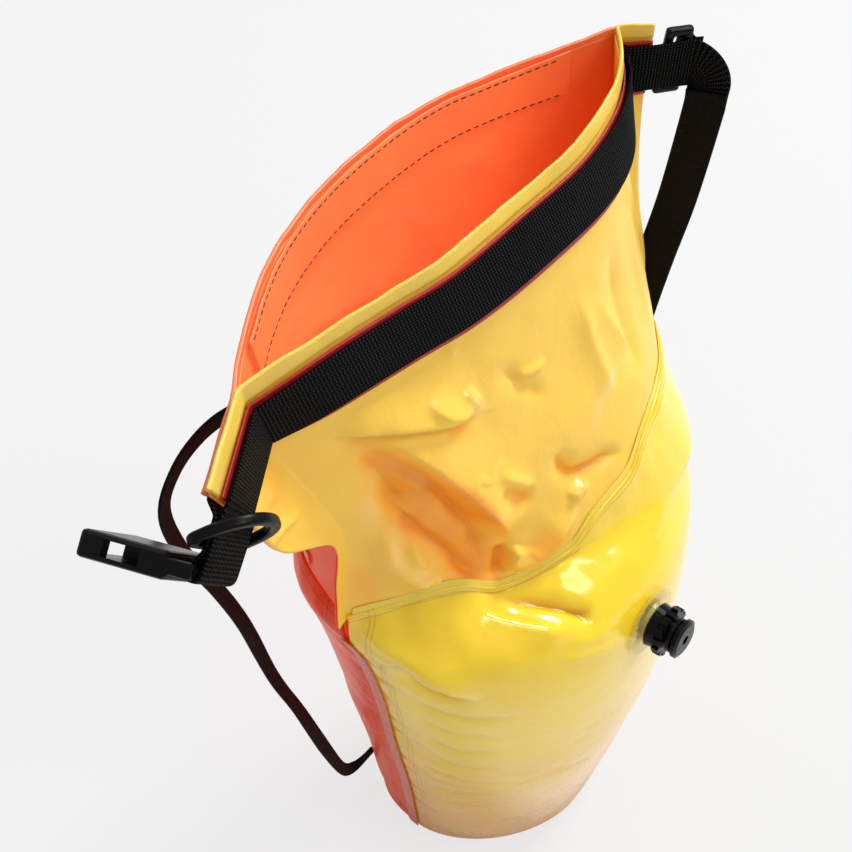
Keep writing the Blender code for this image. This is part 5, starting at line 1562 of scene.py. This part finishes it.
def make_d_ring():
    """The thick moulded left ring: a bent band, thickened and with its edges rounded."""
    half = (RING_INSIDE_WIDTH + RING_SECTION) / 2
    straight = RING_INSIDE_DEPTH + RING_SECTION - half
    bpy.ops.mesh.primitive_circle_add(vertices=96, radius=half)
    made = bpy.context.object
    made.name = "d_ring_smooth"
    for vert in made.data.vertices:
        if vert.co.y >= 0.0:
            vert.co.y += straight
            continue
        share = -vert.co.y / half
        inner = half - RING_CORNER
        if share < RING_FOOT:
            turn = share / RING_FOOT * math.pi / 2
            side = math.copysign(1.0, vert.co.x)
            vert.co.x = side * (inner + RING_CORNER * math.cos(turn))
            vert.co.y = RING_CORNER - RING_CORNER * math.sin(turn)
        else:
            vert.co.x *= inner / (half * math.cos(math.asin(RING_FOOT)))
            vert.co.y = 0.0
    bpy.ops.object.mode_set(mode="EDIT")
    bpy.ops.mesh.select_all(action="SELECT")
    bpy.ops.mesh.extrude_region_move(TRANSFORM_OT_translate={"value": (0.0, 0.0, RING_SECTION)})
    bpy.ops.mesh.select_all(action="SELECT")
    bpy.ops.mesh.normals_make_consistent(inside=False)
    bpy.ops.object.mode_set(mode="OBJECT")
    thicken = made.modifiers.new("thicken", "SOLIDIFY")
    thicken.thickness = RING_SECTION
    thicken.offset = 0.0
    thicken.use_even_offset = True
    rounded = made.modifiers.new("rounded", "BEVEL")
    rounded.width = RING_EDGE
    rounded.segments = 5
    rounded.limit_method = "ANGLE"
    rounded.angle_limit = math.radians(50)
    bpy.ops.object.modifier_apply(modifier="thicken")
    bpy.ops.object.modifier_apply(modifier="rounded")
    bpy.ops.object.shade_smooth_by_angle(angle=math.radians(40))
    bar = np.array(RING_BAR)
    across = unit(RING_ACROSS)
    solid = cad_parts["left_d_ring"]
    points = np.array([solid.matrix_world @ vert.co for vert in solid.data.vertices])
    bow = points.mean(axis=0) - bar
    bow = unit(bow - across * (bow @ across))
    flat = np.cross(across, bow)
    places = np.array([vert.co for vert in made.data.vertices])
    places = (bar + places[:, :1] * across + places[:, 1:2] * bow
              + (places[:, 2:] - RING_SECTION / 2) * flat)
    made.data.vertices.foreach_set("co", places.ravel())
    made.data.update()
    made.data.materials.append(surface_of("moulded_plastic", moulded_plastic))
    finish_piece(made, "left_d_ring", body="left_d_ring", slot="moulded_black")


def dress_hard_pieces():
    """Materials of the rings, the buckle, the valves and the tether's patches."""
    plastic = surface_of("moulded_plastic", moulded_plastic)
    gloss = surface_of("valve_plastic", moulded_plastic, 0.18)
    rubber = surface_of("valve_rubber", moulded_plastic, 0.60)
    make_d_ring()
    dress(("right_ring", "buckle_socket", "buckle_plug", "plug_arm_near", "plug_arm_far"), plastic)
    for side in ("front", "back"):
        dress([f"{side}_valve_{piece}" for piece in ("body", "ring", "mouthpiece")], gloss)
        dress([f"{side}_valve_flap"], rubber)
        dress([f"{side}_valve_flange"], surface_of("clear_film", clear_film))
    dress(("tether_patch_top", "tether_patch_foot"), surface_of("thin_tape", thin_tape))


def make_floor():
    """A plain pale floor that keeps the bag's shadow and looks as pale as the background."""
    bpy.ops.mesh.primitive_plane_add(size=FLOOR_SIZE, location=(0.0, 0.0, FLOOR_HEIGHT))
    floor = bpy.context.object
    floor.name = "floor"
    m = Nodes("floor_paper", 0.9, {"Specular IOR Level": 0.1})
    grain = m.noise(30.0, 2.0)
    tint = m.mix(grain, (0.80, 0.80, 0.80), (0.81, 0.81, 0.81))
    paper = m.finish(tint, 0.9 + 0.02 * grain)
    glow = m.add("Emission", inputs={"Color": PALE})
    seen = m.add("LightPath", output="Is Camera Ray") * FLOOR_GLOW
    both = m.add("MixShader", inputs={0: seen, 1: Socket(m, m.shader.outputs[0]), 2: glow})
    m.put(m.tree.nodes["Material Output"].inputs["Surface"], both)
    floor.data.materials.append(paper)


def make_world():
    """Even white light all round, with a pale background where the camera sees past the floor."""
    world = bpy.data.worlds.new("studio")
    bpy.context.scene.world = world
    world.use_nodes = True
    tree = world.node_tree
    light = tree.nodes["Background"]
    light.inputs["Color"].default_value = (1.0, 1.0, 1.0, 1.0)
    light.inputs["Strength"].default_value = WORLD_STRENGTH
    pale = tree.nodes.new("ShaderNodeBackground")
    pale.inputs["Color"].default_value = PALE
    path = tree.nodes.new("ShaderNodeLightPath")
    both = tree.nodes.new("ShaderNodeMixShader")
    tree.links.new(path.outputs["Is Camera Ray"], both.inputs[0])
    tree.links.new(light.outputs[0], both.inputs[1])
    tree.links.new(pale.outputs[0], both.inputs[2])
    tree.links.new(both.outputs[0], tree.nodes["World Output"].inputs["Surface"])


def make_stage():
    """Floor, pale background and soft lights."""
    bpy.context.scene.view_settings.view_transform = "Standard"
    make_floor()
    make_world()
    for light in LIGHTS:
        area_light(*light)


class BUOY_OT_stage(bpy.types.Operator):
    """Set the camera, the floor, the lights and the background"""

    bl_idname = "buoy.stage"
    bl_label = "Stage"

    def execute(self, context):
        place_camera()
        make_stage()
        return {"FINISHED"}


class BUOY_OT_tape(bpy.types.Operator):
    """Lay the thin tether tape"""

    bl_idname = "buoy.tape"
    bl_label = "Tether Tape"

    def execute(self, context):
        make_tape()
        return {"FINISHED"}


class BUOY_OT_panels(bpy.types.Operator):
    """Make the two creased roll-top panels"""

    bl_idname = "buoy.panels"
    bl_label = "Roll-top Panels"

    def execute(self, context):
        make_panels()
        return {"FINISHED"}


class BUOY_OT_chambers(bpy.types.Operator):
    """Make the skins and inner walls of the air chambers, and the base"""

    bl_idname = "buoy.chambers"
    bl_label = "Air Chambers"

    def execute(self, context):
        make_chamber_pieces()
        make_base_cloth()
        return {"FINISHED"}


class BUOY_OT_seams(bpy.types.Operator):
    """Make the welded strips over the seams"""

    bl_idname = "buoy.seams"
    bl_label = "Seam Strips"

    def execute(self, context):
        make_seam_strip_cloths()
        return {"FINISHED"}


class BUOY_OT_rim(bpy.types.Operator):
    """Make the hems, their stitches and the red edging"""

    bl_idname = "buoy.rim"
    bl_label = "Rim"

    def execute(self, context):
        make_hems()
        make_back_lining()
        make_edging()
        return {"FINISHED"}


class BUOY_OT_webbing(bpy.types.Operator):
    """Make the ribbed webbing and the closure strap"""

    bl_idname = "buoy.webbing"
    bl_label = "Webbing"

    def execute(self, context):
        make_webbing_cloths()
        make_strap_cloth()
        return {"FINISHED"}


class BUOY_OT_hard_pieces(bpy.types.Operator):
    """Finish the rings, the buckle and the valves"""

    bl_idname = "buoy.hard_pieces"
    bl_label = "Rings, Buckle, Valves"

    def execute(self, context):
        dress_hard_pieces()
        return {"FINISHED"}


class BUOY_PT_panel(bpy.types.Panel):
    """Buttons for the pieces of the buoy, in building order"""

    bl_label = "Swim Buoy"
    bl_idname = "BUOY_PT_panel"
    bl_space_type = "VIEW_3D"
    bl_region_type = "UI"
    bl_category = "Swim Buoy"

    def draw(self, context):
        column = self.layout.column()
        for operator in OPERATORS:
            column.operator(operator.bl_idname)
        for group in (context.scene.buoy_sizes, context.scene.buoy_colours):
            for key in group.__annotations__:
                column.prop(group, key)


OPERATORS = (BUOY_OT_stage, BUOY_OT_tape, BUOY_OT_panels, BUOY_OT_chambers, BUOY_OT_seams,
             BUOY_OT_rim, BUOY_OT_webbing, BUOY_OT_hard_pieces)
CLASSES = (BagSizes, BagColours, *OPERATORS, BUOY_PT_panel)


def register():
    """Add the properties, operators and panel to Blender."""
    for item in CLASSES:
        bpy.utils.register_class(item)
    bpy.types.Scene.buoy_sizes = PointerProperty(type=BagSizes)
    bpy.types.Scene.buoy_colours = PointerProperty(type=BagColours)


def unregister():
    """Take them away again."""
    del bpy.types.Scene.buoy_colours
    del bpy.types.Scene.buoy_sizes
    for item in reversed(CLASSES):
        bpy.utils.unregister_class(item)


def main():
    """Build everything."""
    register()
    bpy.ops.object.select_all(action="DESELECT")
    bpy.ops.buoy.stage()
    bpy.ops.buoy.tape()
    bpy.ops.buoy.panels()
    bpy.ops.buoy.chambers()
    bpy.ops.buoy.seams()
    bpy.ops.buoy.rim()
    bpy.ops.buoy.webbing()
    bpy.ops.buoy.hard_pieces()
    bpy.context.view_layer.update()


if __name__ == "__main__":
    main()
